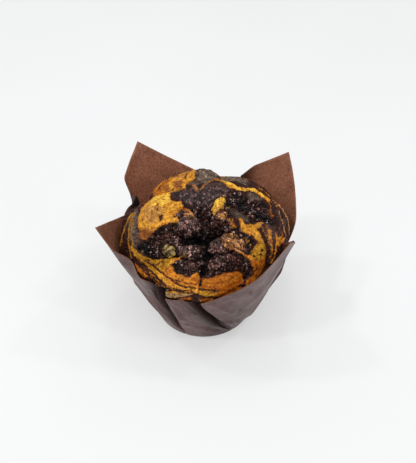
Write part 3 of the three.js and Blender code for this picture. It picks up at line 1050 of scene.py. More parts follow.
# Golden batter first, then what lies over it.
PATCHES = (
    # The big lobe on the left.
    area(Tint.GOLD, (-44.5, 2), (-42.5, 1), (-38, 5.5), (-34, 7.5), (-30.5, 8.5), (-28, 10.5), (-25, 10.5),
        (-22.5, 8), (-21.5, 0), (-19, -2.2), (-17.5, -3.6), (-14.2, -3.6), (-13.4, -7), (-12.4, -10.5),
        (-14.5, -11.8), (-17.6, -15), (-16.5, -18), (-15.6, -20), (-18, -21.8), (-25, -21.3), (-29, -22.8),
        (-33, -24.5), (-37, -27), (-40, -30), (-44, -29.5), (-47, -27), (-48, -24), (-46.5, -20), (-48, -15),
        (-48, -10), (-46, -5)),
    area(Tint.RUST, (-47, -22), (-40, -23), (-36, -26), (-40, -29.5), (-46, -28), (-48, -24), soft=4),
    area(Tint.YELLOW, (-34, 5), (-25, 8), (-22, 0), (-28, -4), (-34, -2), soft=3),
    area(Tint.WHEAT, (-39, -4), (-33, -4), (-28, -8), (-28, -15), (-34, -17), (-40, -12), soft=3),
    # The streaked columns behind it.
    area(Tint.GOLD, (-34.5, 9), (-34, 17), (-33.5, 25), (-30, 33), (-25, 46), (-17, 48), (-9, 49), (-6, 45),
        (-5.5, 23), (-9, 16), (-13.5, 13), (-19, 9.5), (-22.5, 7), (-27, 6.5)),
    area(Tint.AMBER, (-36, 17), (-36, 13), (-35, 9.5), (-32, 9.5), (-30, 8.5), (-27.5, 11), (-27, 14),
        (-29, 17), (-27, 20), (-27, 25), (-24, 28), (-24, 34), (-29, 34), (-32, 30.5), (-34.5, 27),
        (-34.5, 21)),
    area(Tint.GOLD, (-24, 9), (-21.5, 8.5), (-19, 10), (-18.8, 14), (-20, 18), (-19, 22), (-19, 30),
        (-18, 40), (-23, 40), (-23.5, 30), (-22, 25), (-23.5, 20), (-23.8, 14)),
    area(Tint.GOLD, (-28, 22), (-24, 26), (-13, 26), (-12, 14), (-17, 9), (-25, 8), (-28.5, 12)),
    area(Tint.GOLD, (-14.5, 10.5), (-13, 9.3), (-11.6, 10), (-11.8, 14), (-10.5, 17), (-9, 16.8),
        (-6.8, 18.5), (-6.5, 24), (-5.6, 30), (-6, 38), (-8, 45), (-14, 45), (-15, 38), (-15, 30), (-16, 26),
        (-14.8, 21), (-14, 15)),
    area(Tint.RUST, (-27.5, 19), (-24.5, 18.5), (-23.8, 13), (-26, 10.5), (-28, 14), soft=1),
    area(Tint.RUST, (-19.5, 21), (-15, 19.5), (-14.8, 14), (-17.5, 11.5), (-20, 15), soft=1),
    # The bright ridge in the middle, its stub and its crumbs.
    area(Tint.YELLOW, (8.8, -0.3), (11.5, 0.8), (14, 0.3), (14.7, -2.6), (13.3, -6.6), (12, -9.5),
        (10.1, -12.3), (7.5, -15.9), (4.9, -11.9), (5.6, -9.2), (7.3, -6.4), (7.9, -2.6)),
    line(Tint.PEACH, 1.1, (13.6, 2.4), (13.61, 2.4)),
    area(Tint.PEACH, (9.3, -14), (12, -12.1), (15.3, -12.5), (16.6, -14.8), (15.5, -18.4), (11.4, -18.8),
        (8.8, -17.5), soft=2, broken=True),
    line(Tint.PEACH, 0.7, (10, -14), (13, -15), (14.5, -17.5)),
    line(Tint.TAN, 0.7, (18, -7), (16.5, -9), (14.8, -9.8)),
    area(Tint.GOLD, (15.5, -18), (19.4, -18.5), (20.8, -22.4), (22.5, -23.8), (19.6, -26), (17.5, -23),
        broken=True),
    line(Tint.AMBER, 0.8, (-12.5, -11), (-9.5, -13), (-6.5, -16.5)),
    line(Tint.PEACH, 0.9, (-12, -14.5), (-9, -15.5), (-8, -17)),
    # The right side: ridge, crumbs, olive lumps and the side below them.
    area(Tint.GOLD, (23, -16.8), (24.5, -16.6), (26.5, -18.8), (28, -21), (31, -20.2), (34, -19.8),
        (37, -18), (42.5, -13.5), (43.2, -15), (40.5, -19), (39, -22.5), (40, -26), (43, -29.5), (46, -33),
        (42, -33.5), (39, -32.5), (37, -30.5), (34, -28.8), (30, -28), (27, -26.8), (24.6, -24.6),
        (25, -22.4)),
    area(Tint.OLIVE, (39, -32), (46, -32.5), (47.8, -37), (48.6, -41), (49.3, -46.5), (44, -50), (38, -50.5),
        (34.5, -47.5), (30.5, -46), (29, -44.5), (33, -44), (36, -43), (35.5, -40), (37, -37), (38.5, -35)),
    area(Tint.BROWN, (38, -49.5), (44, -48), (49.3, -46), (50, -51), (49.6, -56), (47.5, -61), (44, -67),
        (41, -70.5), (36.5, -71.3), (35.6, -69), (37, -65.5), (40, -61), (39.8, -57), (38.6, -53.5),
        (36, -50.5), soft=3),
    line(Tint.AMBER, 1, (19, -40.6), (24, -41.8), (27, -43.2), (31, -45.2), (35, -47.5)),
    area(Tint.PEACH, (12, -34), (13, -31), (18, -29), (22, -30), (26, -32.5), (30, -35), (30, -40),
        (26, -42), (20, -42), (15.5, -40.5), soft=2, broken=True),
    area(Tint.PEACH, (19, -34), (22, -34.5), (25, -37), (27.5, -40), (23, -40), (20, -37), soft=2),
    line(Tint.GOLD, 0.5, (30, -31), (32, -34), (35.5, -36.5), broken=True),
    area(Tint.TAN, (44, -16), (48, -17), (52, -19), (51, -22), (46, -21), soft=2, broken=True),
    area(Tint.GOLD, (45.5, -22.5), (49, -23), (51, -26), (50.5, -29), (53.5, -31), (51, -32.5), (49, -29.5),
        (48, -26.5)),
    area(Tint.GOLD, (53.5, -18), (56, -18.5), (58, -21), (62, -18.5), (66, -18), (70, -14.5), (68, -20),
        (64.5, -25), (62, -28.5), (58, -29.5), (56.5, -26), (55.5, -21.5)),
    # The band round the front left, from the left rim to the front crack.
    area(Tint.GOLD, (-57.5, -29), (-54.5, -33), (-52, -36.5), (-49, -40), (-46, -42.3), (-42.5, -44),
        (-40, -46), (-38, -48), (-35, -48.8), (-26, -47.8), (-22, -47.6), (-18, -48.8), (-15, -47.2),
        (-13, -45), (-12.5, -46.5), (-15.5, -48.8), (-18, -50.5), (-24.5, -53.5), (-22.5, -56), (-21.8, -60),
        (-20, -62.3), (-16.5, -63.2), (-12, -64.8), (-9.5, -64.3), (-8, -62.6), (-4.6, -60.8), (-3.3, -63),
        (-2, -66), (-3, -69.5), (-3, -79), (-7, -80), (-13, -82.5), (-20, -84), (-26, -84.5), (-33, -85),
        (-37.5, -84), (-39, -80), (-38.5, -72), (-40, -66), (-43, -60), (-45, -56), (-48, -52), (-52, -46),
        (-55, -41), (-57, -36), (-58.5, -31)),
    area(Tint.OLIVE, (-52, -37), (-40, -47), (-26, -49), (-26, -54), (-36, -56), (-44, -52), (-52, -43),
        soft=2.5),
    area(Tint.AMBER, (-26, -56), (-22, -60), (-12, -65), (-4, -63), (-4, -72), (-14, -72), (-24, -68),
        (-31, -61), soft=2.5),
    area(Tint.CREAM, (-38.8, -76), (-36, -77.5), (-33.5, -79.5), (-26, -80), (-20, -80.7), (-12, -81),
        (-13, -82.5), (-20, -83), (-26, -83.8), (-33, -85), (-37, -84.5), (-39, -80), soft=1.2),
    area(Tint.AMBER, (-57.5, -44), (-58.3, -50), (-57.3, -55), (-54.5, -58.5), (-51, -60.8), (-47.5, -60.5),
        (-46.2, -57.5), (-46.8, -55.5), (-50, -54.5), (-53, -52), (-55, -47.5)),
    line(Tint.OLIVE, 0.75, (-51.1, -0.7), (-52.9, -7.2), (-54.1, -14.6), (-55.3, -21.7), (-55.7, -28),
        (-54.8, -34.7), soft=0.8),
    line(Tint.OLIVE, 0.85, (-53.4, -0.3), (-55.8, -7.5), (-57.8, -14.6), (-59.6, -23.5), (-59.8, -32.8),
        (-59.7, -40.3), soft=0.8),
    line(Tint.OLIVE, 1.6, (-54.6, 0.6), (-58.8, -2.2), (-62.1, -6.7), (-65.3, -11.1), (-69.7, -15.9),
        (-75.3, -21.2), soft=0.8),
    # Painted shadow in the gap under the front left.
    streak(2, *FRONT_GAP, tint=Tint.BLACK),
    # The smooth lobe at the front right.
    area(Tint.CARAMEL, (-1.2, -66.8), (0, -65), (4, -66), (7.5, -65.2), (10, -63.8), (15, -61.8), (20, -60),
        (27, -58.6), (30, -59.6), (32.8, -62), (33.8, -65.5), (33.4, -69), (32, -71), (34.5, -74), (30, -78),
        (24, -81.5), (16, -83.6), (9, -84.2), (3, -83.8), (-2, -82.5), (-4, -80), (-3.5, -74.5), (-1.5, -72),
        (-2.2, -70)),
    area(Tint.BROWN, (-1, -66), (7, -66), (14, -63), (24, -61), (28, -66), (16, -70), (8, -74), (-2, -73),
        soft=3),
    area(Tint.OLIVE, (-3, -78), (8, -79), (12, -81), (4, -83), (-3, -82), soft=2),
    area(Tint.BROWN, (-4, -86), (3, -86.5), (11, -87), (9, -90), (-3, -90.5), soft=2),
    # Golden crust low at the front, browner where the rim shades it: partly painted shade.
    line(Tint.BROWN, 1.6, (-12, -86), (-22, -87)),
    # The ridge line over the top.
    line(Tint.TAN, 0.6, (-3.5, 6.5), (-1, 10), (1.5, 13.5), (4, 17), (6.5, 20), (9.5, 21.8), (12, 20.5)),
    area(Tint.GOLD, (7.8, 19.8), (11.3, 21.1), (14.8, 21.4), (18.2, 19.5), (21.6, 17.2), (25.1, 14.5),
        (29, 15.9), (33.4, 19.8), (36.1, 21.3), (39.6, 21), (42.2, 20), (46, 19.6), (49.1, 19.5),
        (51.7, 16.4), (48.5, 11.1), (45.7, 12.2), (42.8, 12), (40.3, 13.6), (37, 15.5), (32.9, 15.5),
        (27, 10.8), (24.8, 11), (21.3, 11.4), (17.1, 11.9), (14.5, 15.9), (11.2, 18.7)),
    line(Tint.YELLOW, 1, (14, 19.5), (20, 16), (25, 12.8), (31, 15.5), (38, 18.5), (44, 17), soft=1.5),
    line(Tint.AMBER, 0.55, (48, 16), (49.5, 10.5), (50.5, 5), (51.5, 1), (52.5, -2)),
    line(Tint.BROWN, 1.2, (50.3, 0.4), (52, -2.2)),
    line(Tint.GOLD, 0.8, (38.5, 32), (43, 30), (48, 27.5), *RIGHT_SEAM, soft=0.8),
    line(Tint.PEACH, 0.9, *RIGHT_SEAM, (71, -12), soft=0.8),
    line(Tint.GOLD, 0.5, (39.5, 27), (44, 25), (48, 21.5), (52, 18), (54.5, 13), soft=0.8),
    line(Tint.GOLD, 0.9, (57.4, -27.3), (59, -38.9), (56.5, -45.3)),
    line(Tint.BROWN, 0.6, (51.3, -27), (54.2, -34.9), (54.6, -42)),
    line(Tint.TAN, 0.5, (40.5, -18), (43.5, -23), (47, -28.5), (50.5, -34.5)),
    line(Tint.GOLD, 0.6, (45, -18), (49.5, -22.5), (52.5, -27.5), (53, -35)),
    line(Tint.BROWN, 0.7, (66, -12), (63.5, -21.5), (62.5, -29)),
    line(Tint.TAN, 1.3, (-6.5, 12), (-4.5, 8.5)),
    # Chocolate lying over the gold.
    *spots(Tint.RED, (1.7, -29, -14.2), (1.3, -28.2, -16.8), (0.8, -30.5, -7.5), (0.7, -31, -2.5),
        (0.8, -18.5, -17), (0.6, -34, -13), (0.8, -34, 12.5), (0.7, -31, 16)),
    line(Tint.BROWN, 0.5, (-30, 11.5), (-26.5, 21.5), (-21.5, 30), (-15.5, 34)),
    streak(0.45, (-32, 14), (-29.5, 24), (-24.5, 35), (-17, 41), (-9, 42)),
    streak(0.35, (-30.5, 9.5), (-24, 8.6), (-19.5, 11)),
    streak(0.5, (-12.5, 38), (-12.8, 28), (-11.5, 20)),
    # Painted shadow in two holes.
    *spots(Tint.BLACK, (0.9, 43.5, -38.7), (0.9, 43, -41.7)),
    *spots(Tint.RED, (0.8, 38, -44.5), (0.7, 41, -46), (0.6, 40.5, -33.5), (0.9, -44, -47.5),
        (0.8, -41.5, -47)),
    streak(0.8, (-43, -48.5), (-36.5, -54.5), (-30, -61.5), (-25, -66.5), (-20.5, -70.5), (-14, -73.5),
        (-6.5, -74.5)),
    streak(0.6, (-49, -47), (-43.5, -57), (-38.5, -66), (-32.5, -72.5), (-24.5, -76), (-13.5, -79.5)),
    streak(0.4, (-47, -45), (-41.5, -50.5), (-36, -52), (-29, -50.5)),
    streak(0.6, (-52, -52), (-46, -60), (-42, -70), (-36, -77)),
    streak(0.35, (-33, -59), (-27, -64), (-20, -67.5), (-12, -70), (-5, -71)),
    streak(0.35, (-36, -70), (-28, -74), (-20, -76.5), (-10, -77)),
    streak(0.5, (0, -84.5), (8, -84.5), (17, -81.5), (25.5, -76), (31.5, -71)),
    streak(0.5, (32, -71.5), (36, -66.5), (40, -60), (43, -53.5)),
    streak(0.4, (5, -80.5), (14, -78), (22, -73), (29, -68), tint=Tint.BROWN),
    streak(0.3, (2, -70), (10, -70.5), (18, -68), (25, -63.5), tint=Tint.BROWN),
    streak(1.3, (-55, -41.5), (-52, -46), (-49, -51), (-45, -54.5), (-42, -58), (-39.5, -61.5),
        (-36.5, -65.5), (-34.5, -68), (-32, -72)),
    streak(0.8, (-32, -72), (-29, -75), (-25, -77.5), (-19, -78.8), (-8, -79.2)),
    streak(0, (-40, -62), (-36.5, -66), (-32, -69.5), (-29, -74.5), (-25, -77.8), (-31, -78), (-36, -77.5),
        (-37.5, -73), (-39, -68), (-43, -64.5)),
    line(Tint.GOLD, 0.25, (-46, -53), (-41, -61), (-37.5, -67.5), (-33.5, -72.5), (-27, -76), soft=0.6),
    line(Tint.AMBER, 0.2, (-50, -50), (-45, -59), (-41.5, -66), (-38, -73), soft=0.6),
    streak(0.7, (-50, -50), (-47, -56), (-42.5, -62), (-38.5, -67)),
    line(Tint.CREAM, 0.9, (-32.3, -76), (-32.29, -76)),
    streak(0.8, (-3.5, -75), (-1, -76.3), (3, -76.8), (8, -77.2), (13, -78.5)),
    # Dark line along the rim: partly chocolate streak and partly painted shadow of the rim.
    streak(0.8, (-4, -83.5), (3, -84.8), (10, -85), (16, -84.3), (24, -82), (31, -78)),
    streak(1, (31, -70.5), (34, -72.5), (36, -73)),
    # Painted shadow in a thin crack.
    streak(0.5, (-1.8, -65), (-1.2, -68), (-2.2, -70), (-1.5, -72.5), tint=Tint.BLACK),
    streak(1.2, (38.5, -22.5), (41.5, -24.5), (44, -27.5), (47, -30.5), (51, -34)),
)

# Fields where the chocolate itself has another tint; the paler crumb is partly painted highlight and the
# black fields are painted shadow.
DARK_FIELDS = (
    area(Tint.SKIN, (-2, 9), (2, 14), (8, 19), (13, 17), (17, 12), (18, 6), (8, 8), soft=2.5),
    area(Tint.MAUVE, (-22.5, 9), (-18.6, 14), *CREST, soft=1.5),
    area(Tint.GREY, (-5, 17), (3, 19), (8, 24), (14, 26), (24, 24), (30, 26), (34, 30), (34, 60), (-10, 60),
        (-5, 40), soft=3),
    area(Tint.GREY, *KNOB, soft=1.5),
    line(Tint.ASH, 0.6, (-10.6, 22.7), (-5.1, 23.3), (1, 23.8), (6.5, 23.5), (12.7, 21.5), (19.9, 22.9)),
    line(Tint.ASH, 0.6, (-2.7, 40.2), (3.3, 43), (9.1, 38.4), (12.5, 32)),
    line(Tint.ASH, 0.6, (15, 26.2), (20.9, 26.4), (26.1, 25), (29.7, 22.1)),
    line(Tint.ASH, 0.5, (-8.9, 14.5), (-4.8, 13), (0.5, 16), (5, 20)),
    # Painted shadow in the creases of the grey top.
    line(Tint.BLACK, 0.9, (-7.9, 23.8), (-5.6, 28.6), (-3.6, 32.4)),
    line(Tint.BLACK, 0.8, (4, 28.2), (8.7, 28.6), (13.4, 25.8)),
    line(Tint.BLACK, 0.8, (-3.6, 11.9), (-0.3, 13.7)),
    area(Tint.STONE, *LEDGE, soft=1),
    line(Tint.STONE, 0.7, (55, 9.9), (60, 3), (62, -5), (60, -12)),
    line(Tint.STONE, 1, (59.7, 7.4), (66.8, 3.2), (68, -8.5), (60, -20)),
    area(Tint.SKIN, (44, -14), (56, -15), (58, -20), (54, -28), (46, -24), soft=2.5),
    area(Tint.GREY, (-54, 2), (-49, 3), (-48, -30), (-53, -32), (-58, -24), (-58, -6), soft=2.5),
    # Paler crumb, partly painted highlight.
    area(Tint.BALL, (-16, -12), (-9, -15), (-3, -19), (-1, -25), (-5, -28), (-12, -27), (-17, -21), soft=3),
    area(Tint.PALE_LUMP, (-14, -37), (-8, -36), (-4, -41), (-5, -48), (-11, -50), (-16, -44), soft=3),
    # Painted shadow under the left lobe.
    area(Tint.BLACK, (-50, -33), (-44, -31), (-37, -36), (-35, -43), (-40, -46), (-47, -40), soft=4),
    # Paler crumb, partly painted highlight.
    area(Tint.LUMP, (4, -36), (9, -33), (11, -27), (16, -26), (19, -32), (17, -38), (15, -44), (6, -44),
        soft=3),
    area(Tint.LUMP, (2, -52), (8, -48), (15, -48), (14, -55), (6, -58), soft=3),
    area(Tint.RED, (49, -31), (56, -28), (62, -34), (50, -64), (44, -72), (46, -62), (51, -50), soft=3),
    # Painted shadow in the crevices and in the crater on the right.
    area(Tint.BLACK, (-12, -31), (-3, -31), (6, -29), (9, -27), (8, -31), (3, -35), (-2, -36), (-10, -34),
        soft=2.5),
    area(Tint.BLACK, (2, -45), (9, -46), (8, -49), (2, -50), (-4, -53), (-4, -49), soft=2.5),
    area(Tint.BLACK, (16, 2), (22, 1), (32, -3), (50, -6), (56, -10), (48, -13), (36, -12), (26, -8),
        (18, -4), soft=3),
    # Paler crumb, partly painted highlight.
    area(Tint.LUMP, (-20.5, -55), (-14, -51.5), (-6.5, -55), (-5, -60.5), (-10, -62.5), (-19, -60.5),
        soft=3),
    area(Tint.RED, (-34.5, -27), (-30, -24), (-22.5, -24), (-17.5, -28), (-21.5, -34), (-30, -34), soft=3),
    # Painted shadow in a pore, a crack, a hole and the gap under the front left.
    line(Tint.BLACK, 2, (-2.4, -4.4), (-2.39, -4.4)),
    line(Tint.BLACK, 0.8, (-12.5, -7.5), (-9, -11), (-5.5, -14), (-3, -17)),
    line(Tint.BLACK, 1.2, (37, 11), (37.01, 11)),
    line(Tint.BLACK, 3, *FRONT_GAP),
)

# The part of the crown that is torn open and moist.
OPEN_CRUMB = area(
    Tint.CRUMB, (-50, -31), (-41, -31), (-35, -26.5), (-30, -23.5), (-21, -22), (-16, -20.5), (-17.5, -15),
    (-14, -12), (-9, -12.5), (-6, -8), (-5, -3), (0, -3), (5, -5), (8, 1.5), (15, 3), (16.3, 9.5), (21, 9.4),
    (26.9, 8.8), (31.9, 4.1), (38.3, 2.8), (45.1, 8.4), (49, 6), (52, 1), (54, -6), (52, -13), (41.3, -14.8),
    (36, -16.5), (28, -20), (24, -16), (18, -16), (16, -19), (20, -23), (24, -25), (33, -29), (38, -33),
    (38, -44), (31, -46), (36, -51), (39.5, -57), (37, -64), (33, -66), (30, -60), (20, -61), (10, -64.5),
    (2, -66), (-3, -63), (-6, -62), (-13, -65), (-21, -62), (-22, -56), (-23, -53), (-15, -49), (-18, -48.5),
    (-38, -47.5), (-46, -42), (-54, -33),
)

# How moist the chocolate is in other places.
MOISTURE = ((0.7, ((-22.5, 10.7), (-18.6, 15.9), *CREST)), (0.12, LEDGE), (0.1, KNOB))


@dataclass
class Paint:
    """What the crown's places are painted with."""

    edge: Array
    gold_tint: Array
    dark_tint: Array
    wet: Array


@dataclass
class Marbling:
    """The pattern of golden and chocolate batter on the crown."""

    warp_coarse: float = 0.8
    warp_fine: float = 0.45
    band_pitch: float = 15.0
    band_lift: float = 0.1
    broken_edge: float = 0.1
    seen_u: tuple[float, ...] = (-90, -75, -60, -50, -40, -30, -6, 12, 30, 47, 58, 75, 90)
    seen_v: tuple[float, ...] = (8, 12, 14, 16, 22, 36, 44, 42, 36, 32, 30, 22, 10)

    def shift(self, points: Array, coarse_seed: float, fine_seed: float) -> Array:
        """A small shift of places, so that straight outlines become ragged."""
        coarse = self.warp_coarse * soft_noise(points, 3.2, coarse_seed)
        return coarse + self.warp_fine * soft_noise(points, 1.2, fine_seed)

    def swirl(self, u: Array, v: Array, points: Array) -> Array:
        """Signed width of the golden bands on the sides that no outline covers.

        Args:
            u: places to the right.
            v: places to the back.
            points: the same places in millimetres.

        Returns:
            The widths, negative in the chocolate.
        """
        drift = 13.0 * soft_noise(points, 26.0, 2.6) + 4.0 * soft_noise(points, 9.0, 6.1)
        turn = (np.hypot(u, v) + drift) / self.band_pitch * math.tau
        return 3.2 * (np.sin(turn) + self.band_lift) + 1.1 * np.sin(turn * 3.3 + 1.0)

    def paint(self, u: Array, v: Array, points: Array) -> Paint:
        """Paints places of the crown.

        Args:
            u: places to the right.
            v: places to the back.
            points: the same places on the plain dome, in millimetres.

        Returns:
            The paint of each place.
        """
        ragged = u + self.shift(points, 1.7, 5.2), v + self.shift(points, 9.3, 7.9)
        edge = np.full(len(u), -6.0)
        gold, dark = (np.tile(tint.colour, (len(u), 1)) for tint in (Tint.GOLD, Tint.CRUMB))
        for patch in PATCHES:
            away = patch.away(*ragged)
            cover = fall(0.2, patch.soft + 0.4, away)[:, None]
            if patch.golden:
                edge = np.maximum(edge, np.minimum(-away, self.broken_edge) if patch.broken else -away)
                gold = blend(gold, patch.tint.colour, cover)
            else:
                edge = np.minimum(edge, away)
                dark = blend(dark, patch.tint.colour, cover)
        for patch in DARK_FIELDS:
            cover = fall(-patch.soft, patch.soft, patch.away(*ragged))
            dark = blend(dark, patch.tint.colour, cover[:, None])
        hidden = rise(0.0, 6.0, v - np.interp(u, self.seen_u, self.seen_v))
        edge = blend(edge, self.swirl(u, v, points), hidden)
        dark = blend(dark, blend(Tint.RED.colour, Tint.SKIN.colour, 0.5), hidden[:, None])
        tone = rise(-0.4, 0.4, soft_noise(points, 11.0, 4.4))[:, None]
        gold = blend(gold, blend(Tint.GOLD.colour, Tint.BROWN.colour, tone), hidden[:, None])
        wet = fall(-0.8, 0.6, OPEN_CRUMB.away(*ragged))
        for amount, outline in MOISTURE:
            wet = blend(wet, amount, fall(-1.0, 1.0, distance_to(outline, *ragged, True)))
        return Paint(edge, gold, dark, wet * (1.0 - 0.75 * rise(-0.2, 0.8, edge)))


# Domes of the crown: middle u and v, half sizes and turn in degrees, and height of the top.
LOBES = (
    (-36, -8, 19, 19, 0, 1.0), (-24, 25, 16, 14, 30, 0.8), (-4, 7, 18, 11, 15, 0),
    (-1, 31, 12.5, 12, -10, 2.3), (27, 20, 20, 8, -5, 0.4), (38, -3, 20, 9, -18, -2.2),
    (63, -4, 13, 28, 0, 3.1), (41, -44, 14, 25, 12, 0.8), (10, -7, 6, 10, 12, 0.9),
    (27, -15, 12, 7, -15, -0.9), (-10, -20, 9, 9, 0, -0.2), (-32, -37, 21, 10, 8, -0.9),
    (-9, -43, 10, 8, 0, -0.8), (13, -37, 13, 8, 20, -0.3), (-12, -57, 12, 7, 0, -0.7),
    (18, -53, 20, 9, 0, 0.1), (-24, -74, 26, 21, -18, 1.0), (14, -76, 22, 18, 5, 1.0),
    (-68, -28, 24, 34, 0, 0.3), (45, 35, 30, 13, -33, 1.0), (-12, 60, 26, 20, 0, 0.1),
    (62, -38, 14, 18, 0, -0.8), (-68, 4, 22, 20, 0, -0.6), (-62, 30, 26, 24, 0, -7),
    (16, 78, 30, 18, 0, 0.2),
)

# Open cracks of the crown: half width, depth and a chain of points.
CRACKS = (
    (5, 4.2, ((-13, -32), (-4, -33), (4, -30), (11, -26))),
    (4, 3.4, ((2, -34), (2, -42), (5, -47), (0, -56), (-1, -63))),
    (3.6, 2.4, ((-4, -4), (-1, -13), (-1, -22), (1, -30))),
    (3, 1.6, ((-13, -9), (-6, -14), (-2, -20))),
    (5, 2.2, ((20, 0), (33, -5), (46, -10), (56, -6))),
    (2.4, 1.3, ((-1, -64), (-2, -72))),
    (3, 1.4, ((-7, 20), (3, 22), (14, 27))),
)


@dataclass
class Muffin:
    """The baked muffin: the case's inside below, and a cracked, lobed crown above."""

    case: PaperCase
    marbling: Marbling
    finish: CrumbFinish = CrumbFinish()
    crown_radius: float = 43.0
    crown_level: float = 46.0
    crown_rise: float = 28.0
    wall_top: float = 42.0
    side_gap: float = 1.0
    crown_gap: float = 0.4
    bottom: float = 1.0
    lobe_sag: float = 3.0
    lobe_blend: float = 0.5
    crack_floor: float = -8.0
    bend: float = 1.3
    grid_steps: int = 280
    wall_steps: int = 8
    bottom_shares: tuple[float, ...] = (0.7, 0.4, 0.15)
    spread: float = 1.6
    smoothings: int = 6
    crumb_height: float = 1.25
    fine_crumb_height: float = 0.55
    crust_height: float = 0.3
    wrinkle_height: float = 0.6
    plate_step: float = 0.55
    viewpoint: tuple[float, float, float] = (2.0, -297.0, 319.0)

    @property
    def scale(self) -> Array:
        """The plain dome's half sizes."""
        return np.array([self.crown_radius, self.crown_radius, self.crown_rise])

    @property
    def centre(self) -> Array:
        """The plain dome's middle."""
        return np.array([0.0, 0.0, self.crown_level])

    def dome(self, u: Array, v: Array) -> tuple[Array, Array]:
        """Places on the plain dome, and the dome's outward directions there.

        Args:
            u: places to the right.
            v: places to the back.

        Returns:
            The places in millimetres and the directions.
        """
        slope, azimuth = np.radians(np.hypot(u, v)), np.arctan2(v, u)
        across = np.sin(slope)
        unit = np.stack([across * np.cos(azimuth), across * np.sin(azimuth), np.cos(slope)], axis=1)
        outward = unit / self.scale
        return unit * self.scale + self.centre, outward / np.linalg.norm(outward, axis=1)[:, None]

    def lobed(self, u: Array, v: Array) -> tuple[Array, Array]:
        """Raises the lobes over the plain dome and sinks the cracks.

        Args:
            u: places to the right.
            v: places to the back.

        Returns:
            The heights, and shares from 0 to 1 down a crack.
        """
        front = rise(62.0, 80.0, np.hypot(u, v)) * fall(-20.0, 0.0, v)
        total = np.exp(blend(self.crack_floor, -0.4, front) / self.lobe_blend)
        for lobe_u, lobe_v, half_along, half_across, angle, top in LOBES:
            sine, cosine = math.sin(math.radians(angle)), math.cos(math.radians(angle))
            du, dv = u - lobe_u, v - lobe_v
            along, across = (du * cosine + dv * sine) / half_along, (dv * cosine - du * sine) / half_across
            height = top - self.lobe_sag * (along**2 + across**2)
            total += np.exp(np.maximum(height, -20.0) / self.lobe_blend)
        deepest = np.zeros_like(u)
        for half, depth, points in CRACKS:
            deepest = np.maximum(deepest, depth * np.exp(-((distance_to(points, u, v) / half) ** 2)))
        return self.lobe_blend * np.log(total) - deepest, rise(1.6, 3.6, deepest)

    def fine_relief(self, points: Array, paint: Paint) -> Array:
        """Crumbs where the crown is torn open, and a leathery crust elsewhere.

        Args:
            points: places on the plain dome, in millimetres.
            paint: what they are painted with.

        Returns:
            The heights.
        """
        open_crumb = self.crumb_height * (cell_bumps(points, 3.0, 2.2) - 0.6)
        open_crumb += self.fine_crumb_height * (cell_bumps(points, 1.5, 6.6) - 0.6)
        open_crumb += 0.5 * soft_noise(points, 4.0, 1.1) + 0.25 * soft_noise(points, 0.9, 3.3)
        skin = soft_noise(points, 2.4, 4.7) + 0.5 * soft_noise(points, 1.1, 0.9)
        fold = soft_noise(points * np.array([0.55, 1.3, 1.3]), 3.4, 8.8)
        wrinkle = 0.5 - 1.5 * np.exp(-((fold / 0.16) ** 2)) + 0.8 * soft_noise(points, 1.7, 5.5)
        crust = self.crust_height * skin + self.wrinkle_height * wrinkle * fall(-0.8, 0.2, paint.edge)
        plate = self.plate_step * (rise(-0.6, 0.8, paint.edge) * 0.5 - paint.wet)
        return blend(crust, open_crumb, paint.wet) + plate

    def build(self, effects: Effects) -> Piece:
        """Makes the muffin's mesh, paints it and gives it its finish.

        Args:
            effects: the shared shader groups.

        Returns:
            The muffin.
        """
        body = bmesh.new()
        bmesh.ops.create_grid(body, x_segments=self.grid_steps, y_segments=self.grid_steps, size=1.0)
        u, v = self.disc_places(*places_of(body).T[:2])
        points, outward = self.dome(u, v)
        bends = (self.bend * soft_noise(points, 7.0, seed) for seed in (12.1, 17.3))
        lobes, deep = self.lobed(*(place + bend for place, bend in zip((u, v), bends)))
        fade = fall(94.0, 102.0, np.hypot(u, v))
        broad = self.held(points + outward * (lobes * fade)[:, None])
        paint = self.marbling.paint(*self.sighted(broad, u, v), points)
        fine = self.fine_relief(points, paint)
        move_to(body, self.held(broad + outward * (fine * fade)[:, None]))
        for name, values in vars(paint).items():
            store(body, name, values)
        # The finish darkens the colour by deep as painted shadow in the cracks.
        store(body, "deep", deep)
        self.add_wall(body)
        piece = finished(body, "muffin_crown", self.finish.make(effects))
        # The finish darkens the colour by pit as painted shade in the open crumb's hollows.
        pit = self.hollows(piece.data) * read(piece.data, "wet")
        piece.data.attributes.new("pit", "FLOAT", "POINT").data.foreach_set("value", pit.astype(np.float32))
        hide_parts("muffin")
        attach(piece, "root")
        return piece

    def sighted(self, places: Array, u: Array, v: Array) -> tuple[Array, Array]:
        """Where raised places fall on the plain dome along a line of sight.

        The marbling's outlines are laid out on the plain dome as it looks from one point in
        front of it, so a raised or sunken place takes its paint from the dome in line with it.

        Args:
            places: the places with their relief.
            u: their own places to the right.
            v: their own places to the back.

        Returns:
            The places u and v to take the paint from.
        """
        sight = np.array(self.viewpoint) - places
        ray = sight / np.linalg.norm(sight, axis=1)[:, None] / self.scale
        start = (places - self.centre) / self.scale
        square, lean = (ray * ray).sum(axis=1), (start * ray).sum(axis=1)
        root = lean * lean - square * ((start * start).sum(axis=1) - 1.0)
        hit = start + ray * ((np.sqrt(np.maximum(root, 0.0)) - lean) / square)[:, None]
        azimuth, across = round_axis(hit)
        slope = np.degrees(np.arctan2(across, hit[:, 2]))
        hit_u, hit_v = slope * np.cos(azimuth), slope * np.sin(azimuth)
        trust = fall(12.0, 20.0, np.hypot(hit_u - u, hit_v - v)) * rise(0.0, 0.01, root / square)
        return blend(u, hit_u, trust), blend(v, hit_v, trust)

